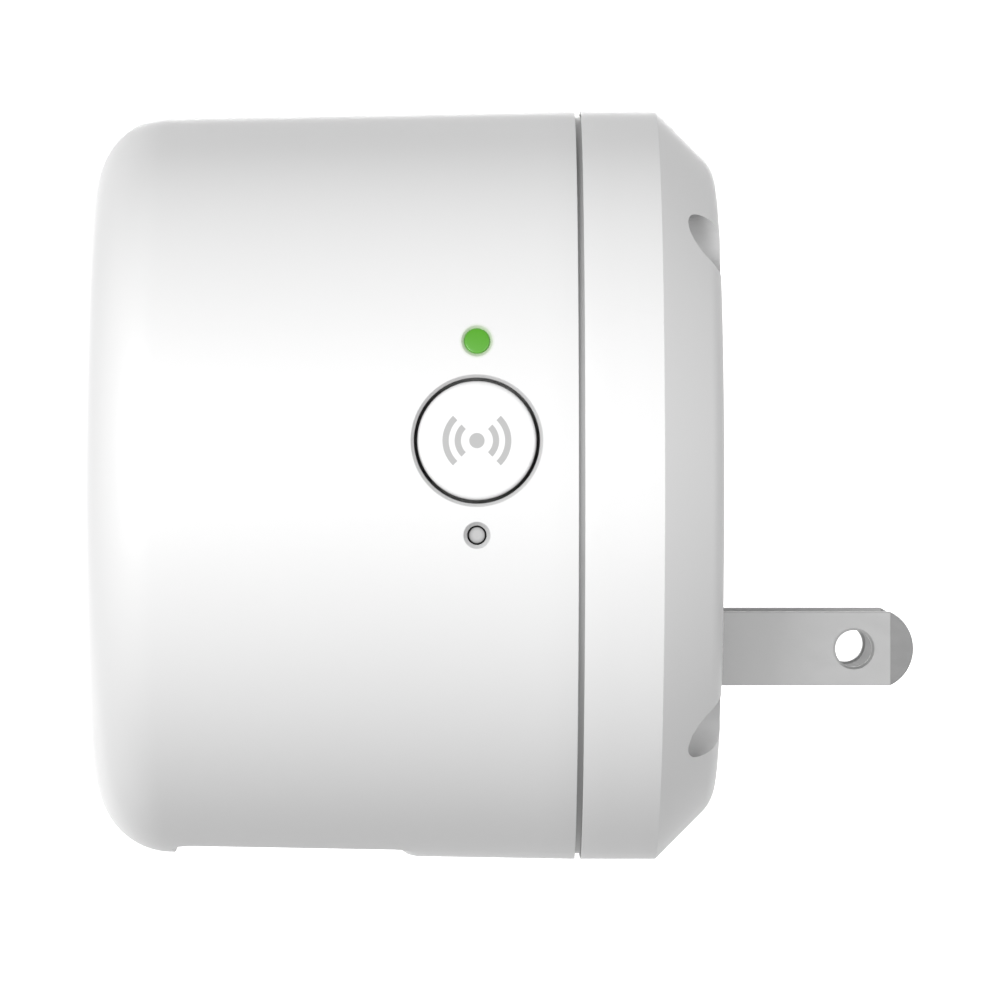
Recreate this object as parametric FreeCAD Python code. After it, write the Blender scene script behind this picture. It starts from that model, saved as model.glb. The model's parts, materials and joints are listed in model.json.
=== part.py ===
import FreeCAD, Part
import math
import os

# A wifi range extender that plugs straight into a wall outlet: a round case with its controls on
# one side and two flat blades on its back.  Sizes are in millimetres.
#
# Frame: the case is round about X.  x = 0 is the rear face that meets the wall plate, +X points
# into the outlet, the front face looks along -X, the controls are on the -Y side and +Z is up.
# Depths below are counted from the rear face towards the front, so a depth d lies at x = -d.

V = FreeCAD.Vector

# How near two places are when they count as the same one.
match = 0.01

# --- case ---------------------------------------------------------------------------------------
case_radius = 32.7
case_depth = 53.85
wall = 2.2
draft_degrees = 1.0
front_round = 6.2
front_crown = 0.7
rear_band = 11.66
rear_chamfer = 5.12
rear_round = 3.6
seam_gap = 0.5
seam_step = 0.5
lap_length = 2.4
lap_clearance = 0.1
lap_end_clearance = 0.2

# --- vent panel under the case ------------------------------------------------------------------
vent_panel_front = 46.98
vent_panel_rear = 25.93
vent_panel_width = 16.0
vent_panel_sink = 0.66
vent_panel_ramp = 1.75
vent_ramp_middle_run = 0.4
vent_ramp_middle_sink = 0.25
vent_panel_corner = 2.0
vent_count = 6
vent_pitch = 2.6
vent_slot_width = 1.3
vent_slot_length = 11.0
vent_margin = 1.6

# --- screws that close the case -----------------------------------------------------------------
screw_inset = 5.0
screw_angle = 46.7
well_radius = 2.7
well_floor = 3.0
pillar_wall = 1.2
pillar_overrun = 2.0
boss_radius = 3.3
case_screw_radius = 1.25
case_screw_length = 10.0
case_screw_head_radius = 2.4
case_screw_head_height = 1.9
screw_hole_clearance = 0.2
screw_tip_share = 0.4
screw_head_edge_share = 0.55
screw_head_top_share = 0.7
screw_recess_arm_share = 0.62
screw_recess_side_share = 0.12
screw_recess_depth_share = 0.5
thread_clearance = 0.02
pilot_overrun = 1.5

# --- controls -----------------------------------------------------------------------------------
control_depth = 20.54
button_height = 3.79
button_radius = 4.9
button_gap = 0.28
button_edge_round = 0.35
button_rim_chamfer = 0.25
button_flange_overhang = 0.62
button_flange_half_height = 5.3
button_stem_radius = 1.5
button_travel = 0.4
reset_height = -3.98
reset_radius = 0.7
reset_gap = 0.1
reset_rim_chamfer = 0.3
reset_sink = 0.6
reset_flange_overhang = 0.6
reset_travel = 0.3
light_height = 12.0
light_radius = 1.03
light_clearance = 0.02
light_rim_chamfer = 0.25
light_flange_overhang = 0.45
collar_wall = 1.1
collar_inset = 4.1
light_collar_inset = 5.7
flange_thickness = 0.8
flange_clearance = 0.1
switch_reach = 1.6
switch_plunger_stand = 1.0
switch_plunger_radius = 1.1
switch_plunger_length = 2.4
switch_plunger_clearance = 0.05
switch_stroke_room = 0.3
switch_height = 3.4
switch_chamfer = 0.2
button_switch_width = 6.0
button_switch_length = 3.6
reset_switch_width = 4.0
reset_switch_length = 3.4
light_pipe_tail = 0.6
led_width = 3.0
led_length = 1.4
led_rise = 0.8
led_lens = 0.3
led_gap = 0.1

# --- plug (two flat blades, 12.7 apart) ---------------------------------------------------------
blade_spacing = 12.7
blade_drop = 14.14
blade_height = 6.35
blade_thickness = 1.5
blade_length = 17.05
blade_hole_radius = 1.59
blade_hole_depth = 11.9
blade_hole_chamfer = 0.2
blade_tip_radius = 3.5
blade_tip_thickness = 0.8
blade_tip_bevel = 1.95
blade_clearance = 0.1
shoulder_height = 9.2
shoulder_thickness = 1.6
tail_height = 2.6
tail_overrun = 1.6
carrier_width = 22.0
carrier_height = 12.4
carrier_thickness = 2.8
carrier_corner = 2.0

# --- power board --------------------------------------------------------------------------------
power_board_thickness = 1.6
power_board_clearance = 0.4
power_post_radius = 2.3
power_post_inset = 2.8
power_post_angle = 25.0
board_screw_radius = 1.0
board_screw_head_radius = 1.9
board_screw_head_height = 1.3
power_screw_length = 4.2
lead_radius = 0.35
resistor_leg_radius = 0.315
chip_standoff = 0.15
chip_leg_width = 0.4
chip_leg_reach = 0.9
capacitor_radius = 4.0
capacitor_height = 11.5
capacitor_crimp_height = 1.7
capacitor_crimp = 0.35
capacitor_rim = 0.5
bulk_capacitor_y = -12.8
bulk_capacitor_z = 8.5
bulk_capacitor_pitch = 8.5
output_capacitor_y = -4.8
output_capacitor_gap = 0.8
transformer_y = 5.8
transformer_z = 2.6
transformer_standoff = 0.4
transformer_width = 13.4
transformer_height = 11.0
transformer_depth = 6.2
transformer_limb = 3.2
transformer_yoke = 1.7
winding_overhang = 3.3
winding_clearance = 0.1
winding_round = 1.5
bridge_y = 1.0
bridge_z = -8.0
bridge_length = 8.2
bridge_width = 4.6
bridge_height = 3.0
bridge_leg_pitch = 5.0
optocoupler_y = 5.0
optocoupler_z = 12.5
optocoupler_length = 4.8
optocoupler_width = 3.6
optocoupler_height = 3.4
optocoupler_leg_pitch = 2.54
controller_y = 15.5
controller_z = 0.0
controller_length = 4.9
controller_width = 3.4
controller_height = 1.6
controller_leg_pitch = 1.27
diode_y = 15.3
diode_z = 6.5
diode_length = 4.4
diode_width = 3.0
diode_height = 2.3
resistor_radius = 1.75
resistor_length = 8.4
resistor_lead_span = 12.0
resistor_edge_gap = 1.85
choke_y = -8.6
choke_z = -7.2
choke_radius = 3.3
choke_height = 8.0
choke_flange = 1.2
choke_waist = 0.6
safety_capacitor_y = 10.0
safety_capacitor_z = -10.0
safety_capacitor_radius = 3.6
safety_capacitor_thickness = 3.2
safety_capacitor_lead_pitch = 5.0
safety_capacitor_lift = 1.0
sheet_thickness = 0.4
sheet_margin = 1.9
header_pins = 4
header_pitch = 2.54
header_edge_gap = 1.8
header_pin_side = 0.64
header_height = 2.54
socket_height = 8.5
socket_pin_reach = 3.0
socket_pin_clearance = 0.1
socket_floor_gap = 0.5

# --- main board ---------------------------------------------------------------------------------
main_board_thickness = 1.2
board_edge_clearance = 0.3
board_flat_inset = 5.9
post_radius = 2.6
post_circle_inset = 8.7
post_rib = 1.2
post_rib_setback = 2.0
post_angles = (90.0, -30.0, 210.0)
main_screw_length = 6.0
can_width = 24.0
can_length = 20.0
can_height = 2.8
can_sheet = 0.25
can_offset = 3.0
processor_y = -0.5
processor_side = 12.0
processor_height = 1.1
memory_y = 10.6
memory_z = 2.5
memory_length = 6.0
memory_width = 8.0
memory_height = 1.0
crystal_z = -4.75
crystal_length = 3.2
crystal_width = 2.5
crystal_height = 0.8
inductor_y = -15.0
inductor_z = 8.5
inductor_side = 5.0
inductor_height = 3.0
inductor_round = 0.8
regulator_z = -2.0
regulator_length = 6.5
regulator_width = 3.5
regulator_height = 1.7
regulator_leg_pitch = 2.3
pad_thickness = 0.8
pad_setback = 1.0
sink_base = 1.6
fin_height = 5.5
fin_thickness = 1.0
fin_count = 7
antenna_inset = 8.7
antenna_sheet = 0.3
antenna_length = 17.0
antenna_rise = 20.5
antenna_arm = 5.0
antenna_fold = 3.5
antenna_leg = 2.2
antenna_feed = 1.3
antenna_feed_offset = 6.0
antenna_shift = 1.5

# --- places worked out from the sizes above -----------------------------------------------------
seam_x = -rear_band
mouth_x = -(rear_band + seam_gap)
tongue_x = mouth_x - lap_length
lap_radius = case_radius - wall / 2
pillar_x = tongue_x - pillar_overrun
well_x = pillar_x + well_floor
pillar_radius = well_radius + pillar_wall
screw_circle = case_radius - screw_inset
control_x = -control_depth
collar_y = -(case_radius - collar_inset)
light_collar_y = -(case_radius - light_collar_inset)
board_flat_y = -(case_radius - board_flat_inset)
switch_y = collar_y + flange_clearance + flange_thickness + switch_reach
plunger_tip_y = switch_y - switch_plunger_stand
main_board_rear = control_x - switch_height / 2
main_board_front = main_board_rear - main_board_thickness
carrier_x = -(wall + carrier_thickness)
power_board_front = carrier_x - power_board_thickness
power_board_radius = screw_circle - pillar_radius - power_board_clearance
sheet_x = power_board_front - capacitor_height
header_z = power_board_radius - header_edge_gap - header_pitch / 2
post_circle = case_radius - post_circle_inset
can_front = main_board_front - can_height
sink_rear = can_front - pad_thickness


# --- small makers -------------------------------------------------------------------------------
def block(x0, x1, y0, y1, z0, z1):
    return Part.makeBox(x1 - x0, y1 - y0, z1 - z0, V(x0, y0, z0))


def rod_x(radius, x0, x1, y=0.0, z=0.0):
    return Part.makeCylinder(radius, x1 - x0, V(x0, y, z), V(1, 0, 0))


def rod_y(radius, y0, y1, x, z):
    return Part.makeCylinder(radius, y1 - y0, V(x, y0, z), V(0, 1, 0))


def turned(points, y=0.0, z=0.0):
    """Turn an outline of (x, radius) points about the line through (y, z) along X."""
    corners = [V(x, y, z + radius) for x, radius in points]
    face = Part.Face(Part.makePolygon(corners + corners[:1]))
    return face.revolve(V(0, y, z), V(1, 0, 0), 360)


def plate(corners, thickness, direction):
    """Flat plate from a closed outline, pushed by its thickness along a direction."""
    face = Part.Face(Part.makePolygon(corners + corners[:1]))
    return face.extrude(direction * thickness)


def rounded_block(x0, x1, y0, y1, z0, z1, radius, along="X"):
    """Block whose edges along one axis are rounded."""
    solid = block(x0, x1, y0, y1, z0, z1)
    axis = "XYZ".index(along)
    edges = [e for e in solid.Edges if abs(e.tangentAt(e.FirstParameter)[axis]) > 0.9]
    return solid.makeFillet(radius, edges)


def ring_edges(solid, x, radius):
    """Circular edges of a given radius about the case axis, at one place along it."""
    found = []
    for edge in solid.Edges:
        box = edge.BoundBox
        if abs(box.XMin - x) < match and box.XLength < match and abs(box.ZMax - radius) < match:
            found.append(edge)
    return found


def rim_edges(solid, radius, x, z):
    """Edges where a hole along Y comes out through the curved outside on the control side."""
    found = []
    for edge in [e for e in solid.Edges if not e.Degenerated]:
        points = edge.discretize(7)
        on_hole = all(abs(math.hypot(p.x - x, p.z - z) - radius) < match for p in points)
        curved = edge.BoundBox.YLength > match and edge.BoundBox.YMax < -case_radius / 2
        if on_hole and curved:
            found.append(edge)
    return found


def screw_places():
    """Centres (y, z) of the four case screws."""
    angle = math.radians(screw_angle)
    y = screw_circle * math.cos(angle)
    z = screw_circle * math.sin(angle)
    return [(-y, z), (-y, -z), (y, z), (y, -z)]


def post_places():
    """Centres (y, z) of the three posts that carry the main board."""
    angles = [math.radians(a) for a in post_angles]
    return [(post_circle * math.cos(a), post_circle * math.sin(a)) for a in angles]


def power_post_places():
    """Centres (y, z) of the two posts that carry the power board."""
    reach = power_board_radius - power_post_inset
    y = reach * math.cos(math.radians(power_post_angle))
    z = -reach * math.sin(math.radians(power_post_angle))
    return [(-y, z), (y, z)]


def pan_screw(under_head_x, length, radius, head_radius, head_height, y, z):
    """Pan-head screw: the head on the +X side, the shaft towards -X, with a cross recess."""
    top = under_head_x + head_height
    tip = under_head_x - length
    outline = [
        (tip, 0),
        (tip, radius * screw_tip_share),
        (tip + radius, radius),
        (under_head_x, radius),
        (under_head_x, head_radius),
        (under_head_x + head_height * screw_head_edge_share, head_radius),
        (top, head_radius * screw_head_top_share),
        (top, 0),
    ]
    screw = turned(outline, y, z)
    arm = head_radius * screw_recess_arm_share
    slot = head_radius * screw_recess_side_share
    floor = top - head_height * screw_recess_depth_share
    screw = screw.cut(block(floor, top + 1, y - arm, y + arm, z - slot, z + slot))
    return screw.cut(block(floor, top + 1, y - slot, y + slot, z - arm, z + arm))


# --- case forms ---------------------------------------------------------------------------------
def side_radius(x, inset=0.0):
    """Radius of the drafted side of the front housing at a place along the axis."""
    return case_radius - inset - (mouth_x - x) * math.tan(math.radians(draft_degrees))


def housing_form(inset, open_x):
    """Solid outside form of the front housing, shrunk all round by an inset.

    The outline is the drafted side, a round tangent to it, and the crowned front face.
    """
    draft = math.radians(draft_degrees)
    turn = front_round - inset
    edge_radius = side_radius(-case_depth, inset)
    sphere = (edge_radius ** 2 + front_crown ** 2) / (2 * front_crown)
    apex_x = -case_depth + inset
    sphere_x = apex_x + sphere
    inward = (math.sin(draft), -math.cos(draft))
    start = (open_x + turn * inward[0], side_radius(open_x, inset) + turn * inward[1])
    along = (-math.cos(draft), -math.sin(draft))
    gap = (start[0] - sphere_x, start[1])
    half_b = gap[0] * along[0] + gap[1] * along[1]
    rest = gap[0] ** 2 + gap[1] ** 2 - (sphere - turn) ** 2
    run = -half_b + math.sqrt(half_b ** 2 - rest)
    centre = (start[0] + run * along[0], start[1] + run * along[1])
    side_end = (centre[0] - turn * inward[0], centre[1] - turn * inward[1])
    reach = sphere / (sphere - turn)
    crown_edge = (sphere_x + (centre[0] - sphere_x) * reach, centre[1] * reach)
    side_turn = math.atan2(side_end[1] - centre[1], side_end[0] - centre[0])
    crown_turn = math.atan2(crown_edge[1] - centre[1], crown_edge[0] - centre[0])
    middle_turn = (side_turn + crown_turn % (2 * math.pi)) / 2
    round_middle = (centre[0] + turn * math.cos(middle_turn), centre[1] + turn * math.sin(middle_turn))
    half_angle = math.asin(crown_edge[1] / sphere) / 2
    crown_middle = (sphere_x - sphere * math.cos(half_angle), sphere * math.sin(half_angle))
    opening = [V(open_x, 0, 0), V(open_x, 0, side_radius(open_x, inset))]
    curve = [V(x, 0, r) for x, r in (side_end, round_middle, crown_edge, crown_middle, (apex_x, 0))]
    edges = [
        Part.makeLine(opening[0], opening[1]),
        Part.makeLine(opening[1], curve[0]),
        Part.Arc(curve[0], curve[1], curve[2]).toShape(),
        Part.Arc(curve[2], curve[3], curve[4]).toShape(),
        Part.makeLine(curve[4], opening[0]),
    ]
    return Part.Face(Part.Wire(edges)).revolve(V(0, 0, 0), V(1, 0, 0), 360)


def cover_form(inset, end_x):
    """Solid outside form of the rear cover, shrunk all round by an inset."""
    leg = rear_chamfer - inset * (2 - math.sqrt(2))
    radius = case_radius - inset
    outline = [
        (-inset, 0),
        (-inset, radius - leg),
        (-inset - leg, radius),
        (end_x, radius),
        (end_x, 0),
    ]
    solid = turned(outline)
    return solid.makeFillet(rear_round - inset, ring_edges(solid, -inset, radius - leg))


def vent_panel_tool():
    """What is cut away to sink the vent panel: an even depth, with a ramp at its rear end."""
    front = -vent_panel_front
    rear = -vent_panel_rear
    ramp = rear - vent_panel_ramp
    clear = case_radius + 1
    floor_front = V(front, 0, side_radius(front, vent_panel_sink))
    floor_rear = V(ramp, 0, side_radius(ramp, vent_panel_sink))
    middle_sink = vent_panel_sink * vent_ramp_middle_sink
    ramp_middle = V(rear - vent_panel_ramp * vent_ramp_middle_run, 0, side_radius(rear, middle_sink))
    ramp_top = V(rear, 0, side_radius(rear))
    outer_rear = V(rear, 0, clear)
    outer_front = V(front, 0, clear)
    edges = [
        Part.makeLine(floor_front, floor_rear),
        Part.Arc(floor_rear, ramp_middle, ramp_top).toShape(),
        Part.makeLine(ramp_top, outer_rear),
        Part.makeLine(outer_rear, outer_front),
        Part.makeLine(outer_front, floor_front),
    ]
    ring = Part.Face(Part.Wire(edges)).revolve(V(0, 0, 0), V(1, 0, 0), 360)
    half = vent_panel_width / 2
    plan = rounded_block(front, rear, -half, half, -clear - 1, 0, vent_panel_corner, "Z")
    return ring.common(plan)


def vent_slots():
    """Through slots in the vent panel, with round ends."""
    slots = []
    half = vent_slot_length / 2 - vent_slot_width / 2
    for number in range(vent_count):
        x = -vent_panel_front + vent_margin + vent_slot_width / 2 + number * vent_pitch
        low = V(x, 0, -case_radius - 1)
        depth = case_radius / 2
        side = vent_slot_width / 2
        slot = Part.makeBox(vent_slot_width, 2 * half, depth, low - V(side, half, 0))
        ends = [Part.makeCylinder(side, depth, low + V(0, s * half, 0)) for s in (-1, 1)]
        slots.append(slot.fuse(ends).removeSplitter())
    return slots


# --- case pieces --------------------------------------------------------------------------------
def control_holes():
    """Radius, place along the case, height and rim chamfer of each hole on the control side."""
    return [
        (button_radius + button_gap, button_height, button_rim_chamfer),
        (reset_radius + reset_gap, reset_height, reset_rim_chamfer),
        (light_radius + light_clearance, light_height, light_rim_chamfer),
    ]


def control_collars():
    """Sleeves inside the wall that guide the button, the reset pin and the light pipe."""
    hole = button_radius + button_gap
    button = rod_y(hole + collar_wall, -case_radius, collar_y, control_x, button_height)
    reset_sleeve = reset_radius + reset_gap + collar_wall
    reset = rod_y(reset_sleeve, -case_radius, collar_y, control_x, reset_height)
    light = rod_y(light_radius + collar_wall, -case_radius, light_collar_y, control_x, light_height)
    room_end = tongue_x - 2 * lap_end_clearance
    room = block(-case_depth, room_end, -case_radius, 0, -case_radius, case_radius)
    return button.fuse([reset, light]).common(room)


def board_post(y, z):
    """Post from the front wall to the main board, tied to the side wall by a rib."""
    post = rod_x(post_radius, -case_depth, main_board_front, y, z)
    rib_end = main_board_front - post_rib_setback
    rib = block(-case_depth, rib_end, post_circle, case_radius, -post_rib / 2, post_rib / 2)
    rib.rotate(V(0, 0, 0), V(1, 0, 0), math.degrees(math.atan2(z, y)))
    return post.fuse(rib)


def front_housing():
    outer = housing_form(0, mouth_x).cut(vent_panel_tool())
    for radius, height, chamfer in control_holes():
        outer = outer.cut(rod_y(radius, -case_radius - 1, 0, control_x, height))
        outer = outer.makeChamfer(chamfer, rim_edges(outer, radius, control_x, height))
    shell = outer.cut(housing_form(wall, mouth_x + 1))
    inner = [rod_x(boss_radius, -case_depth, pillar_x, y, z) for y, z in screw_places()]
    inner += [board_post(y, z) for y, z in post_places()]
    inner.append(control_collars())
    keep = housing_form(wall / 2, mouth_x + 1)
    shell = shell.fuse([piece.common(keep) for piece in inner])
    lap_end = tongue_x - lap_end_clearance
    cuts = [rod_x(lap_radius, lap_end, mouth_x + 1)]
    for radius, height, chamfer in control_holes():
        cuts.append(rod_y(radius, -case_radius + wall / 2, 0, control_x, height))
    pilot_end = well_x - case_screw_length - pilot_overrun
    pilot = case_screw_radius + thread_clearance
    cuts += [rod_x(pilot, pilot_end, pillar_x + 1, y, z) for y, z in screw_places()]
    post_pilot_end = main_board_rear - main_screw_length - pilot_overrun
    post_pilot = board_screw_radius + thread_clearance
    cuts += [rod_x(post_pilot, post_pilot_end, main_board_front + 1, y, z) for y, z in post_places()]
    return shell.cut(cuts + vent_slots()).removeSplitter()


def rear_cover():
    land = rod_x(case_radius - seam_step, mouth_x, seam_x)
    tongue = rod_x(lap_radius - lap_clearance, tongue_x, mouth_x)
    shell = cover_form(0, seam_x).fuse([land, tongue]).cut(cover_form(wall, tongue_x - 1))
    inside = cover_form(wall / 2 + 2 * lap_clearance, tongue_x)
    free_radius = side_radius(pillar_x, wall) - lap_clearance
    inside = inside.fuse(rod_x(free_radius, pillar_x - 1, tongue_x))
    inner = [rod_x(pillar_radius, pillar_x, -wall / 2, y, z) for y, z in screw_places()]
    inner += [rod_x(power_post_radius, carrier_x, -wall / 2, y, z) for y, z in power_post_places()]
    shell = shell.fuse([piece.common(inside) for piece in inner])
    cuts = [rod_x(well_radius, well_x, 1, y, z) for y, z in screw_places()]
    hole = case_screw_radius + screw_hole_clearance
    cuts += [rod_x(hole, pillar_x - 1, 0, y, z) for y, z in screw_places()]
    pilot = board_screw_radius + thread_clearance
    pilot_end = power_board_front + power_screw_length + thread_clearance
    cuts += [rod_x(pilot, carrier_x - 1, pilot_end, y, z) for y, z in power_post_places()]
    cuts += [blade_window(side, -case_radius, 1) for side in (-1, 1)]
    return shell.cut(cuts).removeSplitter()


def case_screws():
    head = (case_screw_head_radius, case_screw_head_height)
    size = (case_screw_length, case_screw_radius)
    return [pan_screw(well_x, *size, *head, y, z) for y, z in screw_places()]


# --- controls -----------------------------------------------------------------------------------
def wps_button():
    flange_y = collar_y + flange_clearance
    cap = rod_y(button_radius, -case_radius - 1, flange_y, control_x, button_height)
    cap = cap.common(housing_form(0, mouth_x))
    cap = cap.makeFillet(button_edge_round, rim_edges(cap, button_radius, control_x, button_height))
    flange_radius = button_radius + button_gap + button_flange_overhang
    inner_y = flange_y + flange_thickness
    flange = rod_y(flange_radius, flange_y, inner_y, control_x, button_height)
    low = button_height - button_flange_half_height
    high = button_height + button_flange_half_height
    flange = flange.common(block(-case_depth, 0, -case_radius, 0, low, high))
    stem = rod_y(button_stem_radius, inner_y, plunger_tip_y, control_x, button_height)
    return cap.fuse([flange, stem]).removeSplitter()


def reset_pin():
    flange_y = collar_y + flange_clearance
    inner_y = flange_y + flange_thickness
    pin = rod_y(reset_radius, -case_radius - 1, plunger_tip_y, control_x, reset_height)
    pin = pin.common(housing_form(reset_sink, mouth_x))
    flange_radius = reset_radius + reset_gap + reset_flange_overhang
    flange = rod_y(flange_radius, flange_y, inner_y, control_x, reset_height)
    return pin.fuse(flange).removeSplitter()


def status_light_pipe():
    pipe_end = light_collar_y + flange_thickness + light_pipe_tail
    pipe = rod_y(light_radius, -case_radius - 1, pipe_end, control_x, light_height)
    pipe = pipe.common(housing_form(0, mouth_x))
    flange_radius = light_radius + light_flange_overhang
    flange_end = light_collar_y + flange_thickness
    flange = rod_y(flange_radius, light_collar_y, flange_end, control_x, light_height)
    return pipe.fuse(flange).removeSplitter()


def status_led():
    front_y = light_collar_y + flange_thickness + light_pipe_tail + led_gap
    body_y = front_y + led_lens
    top = control_x + led_rise
    low = light_height - led_width / 2
    body = block(main_board_rear, top, body_y, front_y + led_length, low, low + led_width)
    lens = rod_y(led_width / 4, front_y, body_y, control_x, light_height)
    return body.fuse(lens).removeSplitter()


def tact_switch(height, width, length, travel):
    """Switch body that stands on the main board, bored for its plunger."""
    top = main_board_rear + switch_height
    low = height - width / 2
    body = block(main_board_rear, top, switch_y, switch_y + length, low, height + width / 2)
    body = body.makeChamfer(switch_chamfer, [e for e in body.Edges if e.BoundBox.YMax < switch_y + match])
    bore_end = plunger_tip_y + switch_plunger_length + travel + switch_stroke_room
    bore = switch_plunger_radius + switch_plunger_clearance
    return body.cut(rod_y(bore, switch_y - 1, bore_end, control_x, height))


def switch_plunger(height):
    end = plunger_tip_y + switch_plunger_length
    return rod_y(switch_plunger_radius, plunger_tip_y, end, control_x, height)


# --- plug ---------------------------------------------------------------------------------------
def blade_window(side, x0, x1, height=blade_height):
    """Opening that clears a blade's section of a given height by the blade clearance all round."""
    y = side * blade_spacing / 2
    half_y = blade_thickness / 2 + blade_clearance
    half_z = height / 2 + blade_clearance
    return block(x0, x1, y - half_y, y + half_y, -blade_drop - half_z, -blade_drop + half_z)


def blade_hole(side):
    """Round hole through a blade, with a small chamfer at each face."""
    middle = side * blade_spacing / 2
    half = blade_thickness / 2
    place = V(blade_hole_depth, middle, -blade_drop)
    wide = blade_hole_radius + blade_hole_chamfer
    hole = rod_y(blade_hole_radius, middle - half - 1, middle + half + 1, blade_hole_depth, -blade_drop)
    for way in (-1, 1):
        face = place + V(0, way * half, 0)
        hole = hole.fuse(Part.makeCone(wide, blade_hole_radius, blade_hole_chamfer, face, V(0, -way, 0)))
    return hole


def plug_blade(side):
    half_z = blade_height / 2
    corner_x = blade_length - blade_tip_radius + math.sqrt(blade_tip_radius ** 2 - half_z ** 2)
    shoulder_x = carrier_x + shoulder_thickness
    shoulder = shoulder_height / 2
    tail = tail_height / 2
    tail_x = power_board_front - tail_overrun
    y = side * blade_spacing / 2 - blade_thickness / 2
    path = [
        (corner_x, half_z),
        (shoulder_x, half_z),
        (shoulder_x, shoulder),
        (carrier_x, shoulder),
        (carrier_x, tail),
        (tail_x, tail),
        (tail_x, -tail),
        (carrier_x, -tail),
        (carrier_x, -shoulder),
        (shoulder_x, -shoulder),
        (shoulder_x, -half_z),
        (corner_x, -half_z),
    ]
    points = [V(x, y, z - blade_drop) for x, z in path]
    edges = [Part.makeLine(a, b) for a, b in zip(points, points[1:])]
    edges.append(Part.Arc(points[-1], V(blade_length, y, -blade_drop), points[0]).toShape())
    blade = Part.Face(Part.Wire(edges)).extrude(V(0, blade_thickness, 0))
    middle_y = side * blade_spacing / 2
    half_y = blade_thickness / 2
    tip_y = blade_tip_thickness / 2
    bevel_x = blade_length - blade_tip_bevel
    low = -blade_drop - shoulder - 1
    section = [
        V(tail_x - 1, middle_y - half_y, low),
        V(bevel_x, middle_y - half_y, low),
        V(blade_length, middle_y - tip_y, low),
        V(blade_length, middle_y + tip_y, low),
        V(bevel_x, middle_y + half_y, low),
        V(tail_x - 1, middle_y + half_y, low),
    ]
    blade = blade.common(plate(section, shoulder_height + 2, V(0, 0, 1)))
    return blade.cut(blade_hole(side))


def blade_carrier():
    """Moulded block that holds both blades by their shoulders against the rear wall."""
    half_y = carrier_width / 2
    low = -blade_drop - carrier_height / 2
    high = low + carrier_height
    body = rounded_block(carrier_x, -wall, -half_y, half_y, low, high, carrier_corner)
    shoulder_x = carrier_x + shoulder_thickness
    for side in (-1, 1):
        body = body.cut(blade_window(side, carrier_x - 1, 0))
        body = body.cut(blade_window(side, carrier_x - 1, shoulder_x, shoulder_height))
    return body


# --- power board and its parts ------------------------------------------------------------------
def power_board():
    board = rod_x(power_board_radius, power_board_front, carrier_x)
    cuts = []
    hole = board_screw_radius + screw_hole_clearance
    for y, z in power_post_places():
        cuts.append(rod_x(hole, power_board_front - 1, 0, y, z))
    cuts += [blade_window(side, power_board_front - 1, 0, tail_height) for side in (-1, 1)]
    return board.cut(cuts)


def power_board_screws():
    screws = []
    for y, z in power_post_places():
        screw = pan_screw(
            -power_board_front, power_screw_length, board_screw_radius,
            board_screw_head_radius, board_screw_head_height, -y, z)
        screw.rotate(V(0, 0, 0), V(0, 0, 1), 180)
        screws.append(screw)
    return screws


def can_capacitor(y, z):
    """Electrolytic capacitor that stands on the power board: crimp at the foot, rolled top."""
    foot = power_board_front
    top = foot - capacitor_height
    crimp = foot - capacitor_crimp_height
    radius = capacitor_radius
    outline = [
        (foot, 0),
        (foot, radius),
        (crimp + capacitor_crimp, radius),
        (crimp, radius - capacitor_crimp),
        (crimp - capacitor_crimp, radius),
        (top + capacitor_rim, radius),
        (top, radius - capacitor_rim),
        (top, 0),
    ]
    return turned(outline, y, z)


def bulk_capacitors():
    return [can_capacitor(bulk_capacitor_y, bulk_capacitor_z - n * bulk_capacitor_pitch) for n in (0, 1)]


def transformer_core():
    y, z = transformer_y, transformer_z
    foot = power_board_front - transformer_standoff
    top = foot - transformer_height
    half_y = transformer_width / 2
    half_z = transformer_depth / 2
    limb = transformer_limb / 2
    side = transformer_yoke
    core = block(top, foot, y - half_y, y + half_y, z - half_z, z + half_z)
    for sign in (-1, 1):
        inner = y + sign * limb
        outer = y + sign * (half_y - side)
        low, high = sorted((inner, outer))
        core = core.cut(block(top + side, foot - side, low, high, z - half_z - 1, z + half_z + 1))
    return core


def transformer_winding():
    y, z = transformer_y, transformer_z
    foot = power_board_front - transformer_standoff - transformer_yoke - winding_clearance
    top = power_board_front - transformer_standoff - transformer_height + transformer_yoke + winding_clearance
    half_y = transformer_width / 2 - transformer_yoke - winding_clearance
    half_z = transformer_depth / 2 + winding_overhang
    coil = rounded_block(top, foot, y - half_y, y + half_y, z - half_z, z + half_z, winding_round)
    limb_y = transformer_limb / 2 + winding_clearance
    limb_z = transformer_depth / 2 + winding_clearance
    return coil.cut(block(top - 1, foot + 1, y - limb_y, y + limb_y, z - limb_z, z + limb_z))


def transformer_bobbin():
    """Moulded foot of the transformer: a rail of pins on each side of the core."""
    y, z = transformer_y, transformer_z
    foot = power_board_front
    top = foot - transformer_standoff - transformer_yoke - winding_clearance
    half_y = transformer_width / 2
    half_z = transformer_depth / 2 + winding_overhang
    body = block(top, foot, y - half_y, y + half_y, z - half_z, z + half_z)
    core_z = transformer_depth / 2 + winding_clearance
    seat = foot - transformer_standoff
    return body.cut(block(top - 1, seat, y - half_y - 1, y + half_y + 1, z - core_z, z + core_z))


def output_capacitor():
    header_foot = header_z - header_pitch / 2
    return can_capacitor(output_capacitor_y, header_foot - output_capacitor_gap - capacitor_radius)


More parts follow.
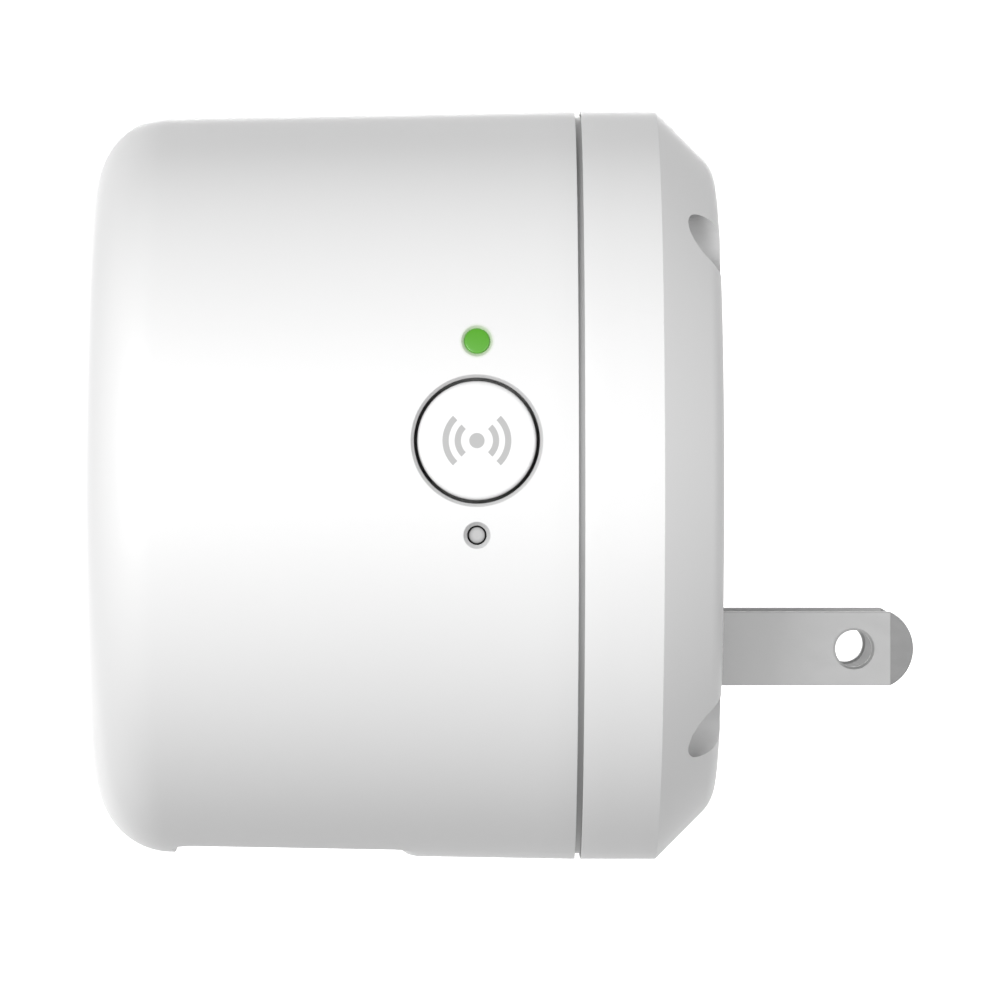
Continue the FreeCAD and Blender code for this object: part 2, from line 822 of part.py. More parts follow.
def leaded_chip(board_x, y, z, length, width, height, legs, pitch):
    """Chip on the -X face of a board, with legs down both long sides."""
    half_y = length / 2
    half_z = width / 2
    top = board_x - height
    body = block(top, board_x - chip_standoff, y - half_y, y + half_y, z - half_z, z + half_z)
    reach = half_z + chip_leg_reach
    side = chip_leg_width / 2
    leg_top = board_x - height / 2
    feet = []
    for number in range(legs):
        leg_y = y + (number - (legs - 1) / 2) * pitch
        feet.append(block(leg_top, board_x, leg_y - side, leg_y + side, z - reach, z + reach))
    return body.fuse(feet).removeSplitter()


def bridge_rectifier():
    size = (bridge_length, bridge_width, bridge_height)
    return leaded_chip(power_board_front, bridge_y, bridge_z, *size, 2, bridge_leg_pitch)


def optocoupler():
    size = (optocoupler_length, optocoupler_width, optocoupler_height)
    return leaded_chip(power_board_front, optocoupler_y, optocoupler_z, *size, 2, optocoupler_leg_pitch)


def power_controller():
    size = (controller_length, controller_width, controller_height)
    return leaded_chip(power_board_front, controller_y, controller_z, *size, 4, controller_leg_pitch)


def output_diode():
    size = (diode_length, diode_width, diode_height)
    return leaded_chip(power_board_front, diode_y, diode_z, *size, 1, 0)


def fusible_resistor():
    """Axial resistor that lies flat on the power board below the blades."""
    z = -(power_board_radius - resistor_edge_gap - resistor_radius)
    x = power_board_front - resistor_radius
    half = resistor_length / 2
    span = resistor_lead_span / 2
    body = rod_y(resistor_radius, -half, half, x, z)
    lead = rod_y(lead_radius, -span - lead_radius, span + lead_radius, x, z)
    legs = [rod_x(resistor_leg_radius, x, power_board_front, side * span, z) for side in (-1, 1)]
    return body.fuse([lead] + legs).removeSplitter()


def line_choke():
    """Drum inductor that stands on the power board."""
    foot = power_board_front
    top = foot - choke_height
    waist = choke_radius - choke_waist
    outline = [
        (foot, 0),
        (foot, choke_radius),
        (foot - choke_flange, choke_radius),
        (foot - choke_flange, waist),
        (top + choke_flange, waist),
        (top + choke_flange, choke_radius),
        (top, choke_radius),
        (top, 0),
    ]
    return turned(outline, choke_y, choke_z)


def safety_capacitor():
    """Disc capacitor on edge, with its two leads down to the power board."""
    x = power_board_front - safety_capacitor_radius - safety_capacitor_lift
    y = safety_capacitor_y
    z = safety_capacitor_z
    half = safety_capacitor_thickness / 2
    pitch = safety_capacitor_lead_pitch / 2
    disc = rod_y(safety_capacitor_radius, y - half, y + half, x, z)
    leads = [rod_x(lead_radius, x, power_board_front, y, z + side * pitch) for side in (-1, 1)]
    return disc.fuse(leads).removeSplitter()


def insulation_sheet():
    """Sheet that lies on the capacitors and keeps the mains side from the main board."""
    radius = power_board_radius - sheet_margin
    sheet = rod_x(radius, sheet_x - sheet_thickness, sheet_x)
    edge = header_z - header_pitch / 2 - sheet_thickness
    return sheet.cut(block(sheet_x - 1, sheet_x + 1, -radius, radius, edge, radius + 1))


def header_row():
    """Places along Y of the pins that join the two boards."""
    return [(number - (header_pins - 1) / 2) * header_pitch for number in range(header_pins)]


def board_header():
    half_y = header_pins * header_pitch / 2
    half = header_pitch / 2
    foot = power_board_front
    body = block(foot - header_height, foot, -half_y, half_y, header_z - half, header_z + half)
    pin = header_pin_side / 2
    tip = main_board_rear + socket_pin_reach
    pins = [block(tip, foot, y - pin, y + pin, header_z - pin, header_z + pin) for y in header_row()]
    return body.fuse(pins).removeSplitter()


def board_socket():
    half_y = header_pins * header_pitch / 2
    half = header_pitch / 2
    mouth = main_board_rear + socket_height
    body = block(main_board_rear, mouth, -half_y, half_y, header_z - half, header_z + half)
    side = header_pin_side / 2 + socket_pin_clearance
    floor = main_board_rear + socket_pin_reach - socket_floor_gap
    low, high = header_z - side, header_z + side
    return body.cut([block(floor, mouth + 1, y - side, y + side, low, high) for y in header_row()])


# --- main board and its parts -------------------------------------------------------------------
def main_board():
    radius = side_radius(main_board_front, wall) - board_edge_clearance
    board = rod_x(radius, main_board_front, main_board_rear)
    cuts = [block(main_board_front - 1, 0, -case_radius, board_flat_y, -case_radius, case_radius)]
    notch = boss_radius + board_edge_clearance
    cuts += [rod_x(notch, main_board_front - 1, 0, y, z) for y, z in screw_places()]
    hole = board_screw_radius + screw_hole_clearance
    cuts += [rod_x(hole, main_board_front - 1, 0, y, z) for y, z in post_places()]
    return board.cut(cuts)


def main_board_screws():
    head = (board_screw_head_radius, board_screw_head_height)
    size = (main_screw_length, board_screw_radius)
    return [pan_screw(main_board_rear, *size, *head, y, z) for y, z in post_places()]


def can_block(x0, x1, inset):
    """Block over the shielded area of the main board, shrunk all round by an inset."""
    half_y = can_width / 2 - inset
    half_z = can_length / 2 - inset
    return block(x0, x1, can_offset - half_y, can_offset + half_y, -half_z, half_z)


def shield_can():
    can = can_block(can_front, main_board_front, 0)
    return can.cut(can_block(can_front + can_sheet, main_board_front + 1, can_sheet))


def board_chip(y, z, length, width, height):
    """Flat leadless chip on the front face of the main board."""
    top = main_board_front - height
    return block(top, main_board_front, y - length / 2, y + length / 2, z - width / 2, z + width / 2)


def wifi_processor():
    return board_chip(processor_y, 0, processor_side, processor_side, processor_height)


def memory_chip():
    return board_chip(memory_y, memory_z, memory_length, memory_width, memory_height)


def crystal():
    return board_chip(memory_y, crystal_z, crystal_length, crystal_width, crystal_height)


def thermal_pads():
    """Soft pads: processor to shield can, and shield can to heat sink."""
    half = processor_side / 2
    chip_top = main_board_front - processor_height
    low, high = processor_y - half, processor_y + half
    inner = block(can_front + can_sheet, chip_top, low, high, -half, half)
    outer = can_block(sink_rear, can_front, pad_setback)
    return [inner, outer]


def heat_sink():
    base_front = sink_rear - sink_base
    sink = can_block(base_front, sink_rear, 0)
    half = can_length / 2
    pitch = (can_width - fin_thickness) / (fin_count - 1)
    fins = []
    for number in range(fin_count):
        y = can_offset - can_width / 2 + number * pitch
        fins.append(block(base_front - fin_height, base_front, y, y + fin_thickness, -half, half))
    return sink.fuse(fins).removeSplitter()


def power_inductor():
    top = main_board_front - inductor_height
    half = inductor_side / 2
    low_y, high_y = inductor_y - half, inductor_y + half
    low_z, high_z = inductor_z - half, inductor_z + half
    return rounded_block(top, main_board_front, low_y, high_y, low_z, high_z, inductor_round)


def voltage_regulator():
    size = (regulator_length, regulator_width, regulator_height)
    return leaded_chip(main_board_front, inductor_y, regulator_z, *size, 3, regulator_leg_pitch)


def antenna(side):
    """Stamped strip antenna: two legs on the main board and an arm along Z, folded at its top."""
    plane = side * (case_radius - antenna_inset)
    inner_y, outer_y = sorted((plane, plane - side * antenna_sheet))
    top = main_board_front - antenna_rise
    arm_rear = top + antenna_arm
    low = antenna_shift - antenna_length / 2
    high = low + antenna_length
    feed = low + antenna_feed_offset
    arm = block(top, arm_rear, inner_y, outer_y, low, high)
    legs = [
        block(arm_rear, main_board_front, inner_y, outer_y, low, low + antenna_leg),
        block(arm_rear, main_board_front, inner_y, outer_y, feed, feed + antenna_feed),
    ]
    fold_y0, fold_y1 = sorted((plane, plane - side * antenna_fold))
    fold = block(top, top + antenna_sheet, fold_y0, fold_y1, low, high)
    return arm.fuse(legs + [fold]).removeSplitter()


# --- write every piece --------------------------------------------------------------------------
PIECES = {
    "front_housing": front_housing(),
    "rear_cover": rear_cover(),
    "case_screws": case_screws(),
    "wps_button": wps_button(),
    "wps_switch_body": tact_switch(button_height, button_switch_width, button_switch_length, button_travel),
    "wps_switch_plunger": switch_plunger(button_height),
    "reset_pin": reset_pin(),
    "reset_switch_body": tact_switch(reset_height, reset_switch_width, reset_switch_length, reset_travel),
    "reset_switch_plunger": switch_plunger(reset_height),
    "status_light_pipe": status_light_pipe(),
    "status_led": status_led(),
    "plug_blade_neutral": plug_blade(-1),
    "plug_blade_line": plug_blade(1),
    "blade_carrier": blade_carrier(),
    "power_board": power_board(),
    "power_board_screws": power_board_screws(),
    "bulk_capacitors": bulk_capacitors(),
    "output_capacitor": output_capacitor(),
    "transformer_core": transformer_core(),
    "transformer_winding": transformer_winding(),
    "transformer_bobbin": transformer_bobbin(),
    "bridge_rectifier": bridge_rectifier(),
    "optocoupler": optocoupler(),
    "power_controller": power_controller(),
    "output_diode": output_diode(),
    "fusible_resistor": fusible_resistor(),
    "line_choke": line_choke(),
    "safety_capacitor": safety_capacitor(),
    "insulation_sheet": insulation_sheet(),
    "board_header": board_header(),
    "board_socket": board_socket(),
    "main_board": main_board(),
    "main_board_screws": main_board_screws(),
    "wifi_processor": wifi_processor(),
    "memory_chip": memory_chip(),
    "crystal": crystal(),
    "shield_can": shield_can(),
    "thermal_pads": thermal_pads(),
    "heat_sink": heat_sink(),
    "power_inductor": power_inductor(),
    "voltage_regulator": voltage_regulator(),
    "antenna_control_side": antenna(-1),
    "antenna_far_side": antenna(1),
}

os.makedirs("parts", exist_ok=True)
for name, made in PIECES.items():
    shape = Part.makeCompound(made) if isinstance(made, list) else made
    shape.exportStep(os.path.join("parts", name + ".step"))
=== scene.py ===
import json
import math

import bmesh
import bpy
from mathutils import Matrix, Vector


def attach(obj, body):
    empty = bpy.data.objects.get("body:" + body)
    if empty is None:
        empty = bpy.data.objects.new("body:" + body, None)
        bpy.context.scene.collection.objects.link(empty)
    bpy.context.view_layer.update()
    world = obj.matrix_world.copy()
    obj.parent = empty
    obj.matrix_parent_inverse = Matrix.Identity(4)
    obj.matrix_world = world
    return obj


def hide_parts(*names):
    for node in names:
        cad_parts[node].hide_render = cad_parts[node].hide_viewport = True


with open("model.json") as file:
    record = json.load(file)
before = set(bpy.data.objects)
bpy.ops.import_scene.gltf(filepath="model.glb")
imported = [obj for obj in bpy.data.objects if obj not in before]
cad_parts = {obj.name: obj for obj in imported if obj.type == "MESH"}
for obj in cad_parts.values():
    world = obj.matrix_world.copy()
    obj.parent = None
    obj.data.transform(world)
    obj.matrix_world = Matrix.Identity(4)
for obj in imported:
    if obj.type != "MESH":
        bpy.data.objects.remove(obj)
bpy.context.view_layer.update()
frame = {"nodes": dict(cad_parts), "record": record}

NODES = frame["nodes"]
SLOT_OF = {part["node"]: part["material_slot"] for part in frame["record"]["subparts"]}
MM = 0.001

# --- camera and studio, in metres, with the lens and its sensor in millimetres --------------------
CAMERA_PLACE = (-0.019014, -0.5145, 0.00322)
CAMERA_LENS = 211.7
CAMERA_SENSOR = 36.0
CAMERA_SHIFT = (0.0045, -0.0525)
CAMERA_NEAREST = 0.05
FLOOR_DROP = 0.16
STUDIO_RADIUS = 1.25
STUDIO_WALL = 1.1
STUDIO_CURVE = 0.35

# name, place, aim, width, height, power
LIGHTS = [
    ("front left", (-0.60, -1.00, 0.05), (-0.02, 0.0, 0.0), 0.6, 0.5, 5.45),
    ("upper left", (-0.60, -1.00, 0.40), (-0.02, 0.0, 0.0), 0.6, 0.5, 6.57),
    ("front right", (0.60, -1.00, 0.05), (-0.02, 0.0, 0.0), 0.6, 0.5, 5.05),
    ("back left", (-0.60, 0.83, -0.08), (0.0, 0.0, 0.0), 0.5, 0.5, 2.00),
    ("under the light table", (-0.80, 0.70, -0.60), (0.0, 0.0, 0.0), 1.0, 1.0, 4.36),
    ("behind", (0.0, 1.20, 0.20), (0.0, 0.0, 0.0), 0.4, 0.4, 4.00),
]
WORLD_STRENGTH = 0.189
STUDIO_GLOW = 1.045
PAPER_GREY = 0.3
PAPER_ROUGHNESS = 0.9

# --- how finely curves are divided --------------------------------------------------------------
ROUND_STEPS = 256
BUTTON_STEPS = 160
HOLE_STEPS = 96
PIN_STEPS = 64
PILOT_STEPS = 48
CROWN_STEPS = 14
FRONT_ROUND_STEPS = 20
SIDE_STEPS = 12
REAR_ROUND_STEPS = 12
BAND_STEPS = 3
SMALL_ROUND_STEPS = 4
VENT_CORNER_STEPS = 10
SLOT_END_STEPS = 24
CAP_FACE_STEPS = 5
CAP_EDGE_STEPS = 6
MARK_STEPS = 24
MARK_DOT_STEPS = 48
TIP_STEPS = 20
TIP_CORNER_STEPS = 2
STUDIO_STEPS = 96
STUDIO_BEND_STEPS = 24

# --- angles, in degrees, beyond which two faces meet in a sharp edge -----------------------------
SHARP_NODE = 25.0
SHARP_CASE = 30.0
SHARP_CAP = 40.0
SHARP_BLADE = 10.0
EASED_FROM = 30.0

# --- the object's own sizes, in millimetres -----------------------------------------------------
TINY = 1e-6
OVERRUN = 1.0  # how far a tool reaches past what it cuts
CASE_RADIUS = 32.7
CASE_DEPTH = 53.85
WALL = 2.2
DRAFT = math.radians(1.0)
FRONT_ROUND = 6.2
FRONT_CROWN = 0.7
REAR_CHAMFER = 5.12
REAR_ROUND = 3.6
CREASE_ROUND = 0.1
INNER_CREASE_ROUND = 0.05
LIP_ROUND = 0.05
SEAM_X = -11.66
SEAM_GAP = 0.5
SEAM_STEP = 0.5
MOUTH_X = SEAM_X - SEAM_GAP
LAP_LENGTH = 2.4
LAP_RADIUS = 31.6
LAP_CLEARANCE = 0.1
LAP_END_CLEARANCE = 0.2
TONGUE_X = MOUTH_X - LAP_LENGTH
LAP_END = TONGUE_X - LAP_END_CLEARANCE

SCREW_CIRCLE = 27.7
SCREW_ANGLE = math.radians(46.7)
WELL_RADIUS = 2.7
WELL_FLOOR = 3.0
PILLAR_OVERRUN = 2.0
PILLAR_X = TONGUE_X - PILLAR_OVERRUN
WELL_X = PILLAR_X + WELL_FLOOR
PILLAR_RADIUS = 3.9
BOSS_RADIUS = 3.3
SCREW_HOLE = 1.45
SCREW_PILOT = 1.27
SCREW_PILOT_LENGTH = 11.5
SCREW_PILOT_END = WELL_X - SCREW_PILOT_LENGTH

POST_RADIUS = 2.6
POST_CIRCLE = 24.0
POST_ANGLES = (90.0, -30.0, 210.0)
POST_RIB = 1.2
POST_RIB_SETBACK = 2.0
POST_END = -23.44
POST_PILOT = 1.02
POST_PILOT_LENGTH = 6.3
POST_PILOT_END = POST_END - POST_PILOT_LENGTH
POWER_POST_RADIUS = 2.3
POWER_POST_CIRCLE = 20.6
POWER_POST_ANGLE = math.radians(25.0)
POWER_POST_END = -5.0
POWER_PILOT_END = -2.38

CONTROL_X = -20.54
COLLAR_WALL = 1.1
COLLAR_Y = -28.6
LIGHT_COLLAR_Y = -27.0
CONTROL_HOLE_END = -15.0
BUTTON_Z = 3.79
BUTTON_RADIUS = 4.9
BUTTON_HOLE = 5.18
BUTTON_ROUND = 0.35
BUTTON_RIM = 0.25
BUTTON_FLANGE = 5.8
BUTTON_FLANGE_HALF = 5.3
BUTTON_STEM = 1.5
RESET_Z = -3.98
RESET_RADIUS = 0.7
RESET_HOLE = 0.8
RESET_RIM = 0.3
RESET_ROUND = 0.1
RESET_SINK = 0.6
RESET_FLANGE = 1.4
LIGHT_Z = 12.0
LIGHT_RADIUS = 1.03
LIGHT_HOLE = 1.05
LIGHT_RIM = 0.25
LIGHT_ROUND = 0.12
LIGHT_DOME = 0.05
LIGHT_TAIL = 0.6
LIGHT_FLANGE = 1.48
LIGHT_GLOW_START = 1.0
LIGHT_GLOW_END = 1.5
RIM_FADE = 0.06
FLANGE_THICKNESS = 0.8
FLANGE_CLEARANCE = 0.1
PLUNGER_Y = -27.1
STEM_BITE = 0.1  # how far a stem reaches into its plunger

VENT_FRONT = -46.98
VENT_REAR = -25.93
VENT_WIDTH = 16.0
VENT_SINK = 0.66
VENT_RAMP = 1.75
VENT_KNEE_RUN = 0.4  # share of the ramp behind its knee
VENT_KNEE_SINK = 0.25  # share of the sink at the knee
VENT_FOOT_SINK = 0.72  # share of the sink halfway between the ramp's foot and its knee
VENT_CORNER = 2.0
VENT_COUNT = 6
VENT_PITCH = 2.6
VENT_SLOT_WIDTH = 1.3
VENT_SLOT_LENGTH = 11.0
VENT_MARGIN = 1.6
VENT_RIM = 0.15

BLADE_Y = 6.35
BLADE_Z = -14.14
BLADE_HALF_Z = 3.175
BLADE_HALF_Y = 0.75
BLADE_LENGTH = 17.05
BLADE_TIP_RADIUS = 3.5
BLADE_TIP_HALF = 0.4
BLADE_BEVEL_X = 15.1
BLADE_HOLE = 1.59
BLADE_HOLE_X = 11.9
BLADE_HOLE_RIM = 0.2
BLADE_EDGE = 0.06
BLADE_EDGE_STEPS = 3
BLADE_CLEARANCE = 0.1
BLADE_SLOT_END = -4.0
SHOULDER_X = -3.4
SHOULDER_HALF = 4.6
CARRIER_X = -5.0
TAIL_X = -8.2
TAIL_HALF = 1.3


# --- small makers -------------------------------------------------------------------------------
def as_piece(made, name, size=1.0):
    """An object from a bmesh, with its faces turned outwards."""
    bmesh.ops.recalc_face_normals(made, faces=made.faces)
    mesh = bpy.data.meshes.new(name)
    made.to_mesh(mesh)
    made.free()
    mesh.transform(Matrix.Scale(size, 4))
    piece = bpy.data.objects.new(name, mesh)
    bpy.context.scene.collection.objects.link(piece)
    return piece


def join_rings(made, rings, closed):
    """Faces between neighbouring rings of vertices; a ring of one vertex is a point."""
    pairs = list(zip(rings, rings[1:]))
    if closed:
        pairs.append((rings[-1], rings[0]))
    for low, high in pairs:
        count = max(len(low), len(high))
        if count == 1:
            continue
        for step in range(count):
            after = (step + 1) % count
            corners = [
                low[step % len(low)],
                low[after % len(low)],
                high[after % len(high)],
                high[step % len(high)],
            ]
            made.faces.new(list(dict.fromkeys(corners)))


def add_turned(made, outline, axis="X", centre=(0.0, 0.0), steps=ROUND_STEPS, closed=True):
    """Turn an outline of (along, radius) about a line along X, Y or Z."""
    rings = []
    for along, radius in outline:
        ring = []
        for step in range(steps if radius > TINY else 1):
            angle = 2 * math.pi * step / steps
            first = centre[0] + radius * math.cos(angle)
            second = centre[1] + radius * math.sin(angle)
            place = {"X": (along, first, second), "Y": (first, along, second), "Z": (first, second, along)}
            ring.append(made.verts.new(place[axis]))
        rings.append(ring)
    join_rings(made, rings, closed)


def add_stack(made, loops):
    """Closed solid through loops of places, with a fan of faces at each end."""
    rings = [[made.verts.new(place) for place in loop] for loop in loops]
    first = made.verts.new(sum((Vector(place) for place in loops[0]), Vector()) / len(loops[0]))
    last = made.verts.new(sum((Vector(place) for place in loops[-1]), Vector()) / len(loops[-1]))
    join_rings(made, [[first], *rings, [last]], False)


def add_box(made, low, high, turn=0.0):
    """Box between two corners, turned about X."""
    loops = []
    for x in (low[0], high[0]):
        corners = [(low[1], low[2]), (high[1], low[2]), (high[1], high[2]), (low[1], high[2])]
        loops.append([
            (x, y * math.cos(turn) - z * math.sin(turn), y * math.sin(turn) + z * math.cos(turn))
            for y, z in corners])
    add_stack(made, loops)


def bake(piece):
    """Put what a piece's modifiers make of it into its own mesh."""
    graph = bpy.context.evaluated_depsgraph_get()
    mesh = bpy.data.meshes.new_from_object(piece.evaluated_get(graph))
    piece.modifiers.clear()
    piece.data = mesh


def combine(piece, tool, operation, tangled=False):
    """Boolean of a piece with a tool, which is used up."""
    step = piece.modifiers.new("combine", "BOOLEAN")
    step.operation = operation
    step.solver = "EXACT"
    step.use_self = tangled
    step.object = tool
    bake(piece)
    bpy.data.objects.remove(tool)


def dress(piece, body, node, sharp=SHARP_CASE):
    """Bring a finished piece to metres, shade it and put it in the place of a CAD node."""
    piece.data.transform(Matrix.Scale(MM, 4))
    piece.data.shade_smooth()
    piece.data.set_sharp_from_angle(angle=math.radians(sharp))
    piece.data.materials.clear()
    piece.data.materials.append(MATERIALS[SLOT_OF[node]])
    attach(piece, body)
    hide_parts(node)


def arc(centre, radius, start, end, count):
    """Places on an arc, from one angle to another in radians, both ends included."""
    turns = [start + (end - start) * step / count for step in range(count + 1)]
    return [(centre[0] + radius * math.cos(t), centre[1] + radius * math.sin(t)) for t in turns]


def line(start, end, count):
    """Places on a straight line, without its first end."""
    shares = [step / count for step in range(1, count + 1)]
    return [(start[0] + (end[0] - start[0]) * s, start[1] + (end[1] - start[1]) * s) for s in shares]


# --- case forms ---------------------------------------------------------------------------------
def side_radius(x, inset=0.0):
    """Radius of the front housing's drafted side at a place along X."""
    return CASE_RADIUS - inset - (MOUTH_X - x) * math.tan(DRAFT)


def front_outline(inset, end_x):
    """Outline of the front housing from the middle of its face to end_x, shrunk by an inset."""
    turn = FRONT_ROUND - inset
    edge = side_radius(-CASE_DEPTH, inset)
    sphere = (edge ** 2 + FRONT_CROWN ** 2) / (2 * FRONT_CROWN)
    sphere_x = -CASE_DEPTH + inset + sphere
    inward = (math.sin(DRAFT), -math.cos(DRAFT))
    start = (end_x + turn * inward[0], side_radius(end_x, inset) + turn * inward[1])
    along = (-math.cos(DRAFT), -math.sin(DRAFT))
    gap = (start[0] - sphere_x, start[1])
    half_b = gap[0] * along[0] + gap[1] * along[1]
    rest = gap[0] ** 2 + gap[1] ** 2 - (sphere - turn) ** 2
    run = -half_b + math.sqrt(half_b ** 2 - rest)
    centre = (start[0] + run * along[0], start[1] + run * along[1])
    crown_turn = math.pi - math.atan2(centre[1], sphere_x - centre[0])
    side_turn = math.pi / 2 + DRAFT
    crown = arc((sphere_x, 0.0), sphere, math.pi, crown_turn, CROWN_STEPS)
    round_part = arc(centre, turn, crown_turn, side_turn, FRONT_ROUND_STEPS)
    side_end = round_part[-1]
    side = line(side_end, (end_x, side_radius(end_x, inset)), SIDE_STEPS)
    return [(crown[0][0], 0.0)] + crown[1:] + round_part[1:] + side


def rear_outline(inset, end_x, crease=CREASE_ROUND):
    """Outline of the rear cover from the middle of its face to end_x, shrunk by an inset."""
    leg = REAR_CHAMFER - inset * (2 - math.sqrt(2))
    radius = CASE_RADIUS - inset
    turn = REAR_ROUND - inset
    centre = (-inset - turn, radius - leg - turn * math.tan(math.pi / 8))
    outline = [(-inset, 0.0), (-inset, centre[1] * 0.5)]
    outline += arc(centre, turn, 0.0, math.pi / 4, REAR_ROUND_STEPS)
    corner = (-inset - leg - crease * math.tan(math.pi / 8), radius - crease)
    outline += arc(corner, crease, math.pi / 4, math.pi / 2, SMALL_ROUND_STEPS)
    return outline + line(outline[-1], (end_x, radius), BAND_STEPS)


def surface(x, across, sink=0.0):
    """How far out the front housing's side lies at a place, on the side that faces away."""
    return -math.sqrt((side_radius(x) - sink) ** 2 - across ** 2)


def circle(centre, count=HOLE_STEPS):
    """Loop maker for a round hole: gives the loop at a radius."""
    turns = [2 * math.pi * step / count for step in range(count)]
    return lambda radius: [
        (centre[0] + radius * math.cos(t), centre[1] + radius * math.sin(t)) for t in turns]


def stadium(centre, half, count=SLOT_END_STEPS):
    """Loop maker for a slot with round ends: gives the loop at a half width.

    Known fault: the straight sides have no places between their ends, so add_rim_tool lays them as
    chords. The vent panel between them bulges by more than the tool's outer loop stands out, and a
    skin of up to 0.19 mm closes the middle of each slot.
    """
    turns = [math.pi * step / count for step in range(count + 1)]
    return lambda radius: (
        [(centre[0] + radius * math.cos(t), centre[1] + half + radius * math.sin(t)) for t in turns]
        + [(centre[0] - radius * math.cos(t), centre[1] - half - radius * math.sin(t)) for t in turns])


def add_rim_tool(made, loop, radius, rim, deep, side, sink=0.0):
    """Tool for a hole in the curved side whose rim is chamfered by the same amount all round.

    The chamfer's line runs on to an outer loop that stands two rims outside the surface.
    """
    loops = []
    for size, out in ((radius + 3 * rim, -2 * rim), (radius, rim), (radius, None)):
        ring = []
        for x, across in loop(size):
            reach = deep if out is None else surface(x, across, sink) + out
            ring.append((x, reach, across) if side == "controls" else (x, across, reach))
        loops.append(ring)
    add_stack(made, loops)


def screw_places():
    """Places in Y and Z of the four case screws."""
    y = SCREW_CIRCLE * math.cos(SCREW_ANGLE)
    z = SCREW_CIRCLE * math.sin(SCREW_ANGLE)
    return [(-y, z), (-y, -z), (y, z), (y, -z)]


def post_places():
    """Places in Y and Z of the main board's three posts."""
    turns = [math.radians(angle) for angle in POST_ANGLES]
    return [(POST_CIRCLE * math.cos(t), POST_CIRCLE * math.sin(t)) for t in turns]


def power_post_places():
    """Places in Y and Z of the power board's two posts."""
    y = POWER_POST_CIRCLE * math.cos(POWER_POST_ANGLE)
    z = -POWER_POST_CIRCLE * math.sin(POWER_POST_ANGLE)
    return [(-y, z), (y, z)]


def add_rod(made, radius, start, end, place, steps=PIN_STEPS):
    """Plain rod along X between two places."""
    add_turned(made, [(start, 0), (start, radius), (end, radius), (end, 0)], "X", place, steps)


# --- materials ----------------------------------------------------------------------------------
BROAD_SCALE = 60.0
FINE_DETAIL = 4.0
ROUGHNESS_SPREAD = 0.06
RELIEF_DEPTH = 0.0001
RECESS_SAMPLES = 12
FACE_TURN = (0.5, 0.95)  # size of the normal's Y at a sheared edge and on a blade's bare face


def new_material(name):
    """A material, its node tree and its shader."""
    material = bpy.data.materials.new(name)
    material.use_nodes = True
    tree = material.node_tree
    return material, tree, tree.nodes["Principled BSDF"]


def noise(tree, place, scale, detail=3.0, stretch=None):
    """Noise in the object's own space, stretched along an axis if asked."""
    if stretch:
        spread = tree.nodes.new("ShaderNodeMapping")
        spread.inputs["Scale"].default_value = stretch
        tree.links.new(place, spread.inputs["Vector"])
        place = spread.outputs["Vector"]
    made = tree.nodes.new("ShaderNodeTexNoise")
    made.inputs["Scale"].default_value = scale
    made.inputs["Detail"].default_value = detail
    tree.links.new(place, made.inputs["Vector"])
    return made.outputs["Fac"]


def two_tone(tree, factor, first, second):
    """Mix of two colours."""
    mix = tree.nodes.new("ShaderNodeMix")
    mix.data_type = "RGBA"
    mix.inputs["A"].default_value = (*first, 1)
    mix.inputs["B"].default_value = (*second, 1)
    tree.links.new(factor, mix.inputs["Factor"])
    return mix.outputs["Result"]


def ranged(tree, factor, low, high, from_low=0.0, from_high=1.0):
    """Bring a value from one range to another, and no further."""
    spread = tree.nodes.new("ShaderNodeMapRange")
    spread.inputs["From Min"].default_value = from_low
    spread.inputs["From Max"].default_value = from_high
    spread.inputs["To Min"].default_value = low
    spread.inputs["To Max"].default_value = high
    tree.links.new(factor, spread.inputs["Value"])
    return spread.outputs["Result"]


def calculated(tree, operation, *feeds):
    """Result of a sum done on one or two values."""
    step = tree.nodes.new("ShaderNodeMath")
    step.operation = operation
    for number, feed in enumerate(feeds):
        tree.links.new(feed, step.inputs[number])
    return step.outputs["Value"]


def component(tree, vector, letter):
    """The X, Y or Z of a vector."""
    apart = tree.nodes.new("ShaderNodeSeparateXYZ")
    tree.links.new(vector, apart.inputs["Vector"])
    return apart.outputs[letter]


def own_place(tree):
    """Place in the object's own space, in metres."""
    return tree.nodes.new("ShaderNodeTexCoord").outputs["Object"]


def surfaced(name, colour, roughness, grain, relief, vary=0.02, metal=0.0, stretch=None, coat=0.0):
    """A finish with broad colour variation, a fine grain in its roughness, and its relief."""
    material, tree, shader = new_material(name)
    place = own_place(tree)
    broad = noise(tree, place, BROAD_SCALE)
    fine = noise(tree, place, grain, FINE_DETAIL, stretch)
    dark = [c * (1 - vary) for c in colour]
    light = [min(1.0, c * (1 + vary)) for c in colour]
    tree.links.new(two_tone(tree, broad, dark, light), shader.inputs["Base Color"])
    dull = ranged(tree, fine, roughness - ROUGHNESS_SPREAD, roughness + ROUGHNESS_SPREAD)
    tree.links.new(dull, shader.inputs["Roughness"])
    bump = tree.nodes.new("ShaderNodeBump")
    bump.inputs["Strength"].default_value = relief
    bump.inputs["Distance"].default_value = RELIEF_DEPTH
    tree.links.new(fine, bump.inputs["Height"])
    tree.links.new(bump.outputs["Normal"], shader.inputs["Normal"])
    shader.inputs["Metallic"].default_value = metal
    shader.inputs["Coat Weight"].default_value = coat
    return material


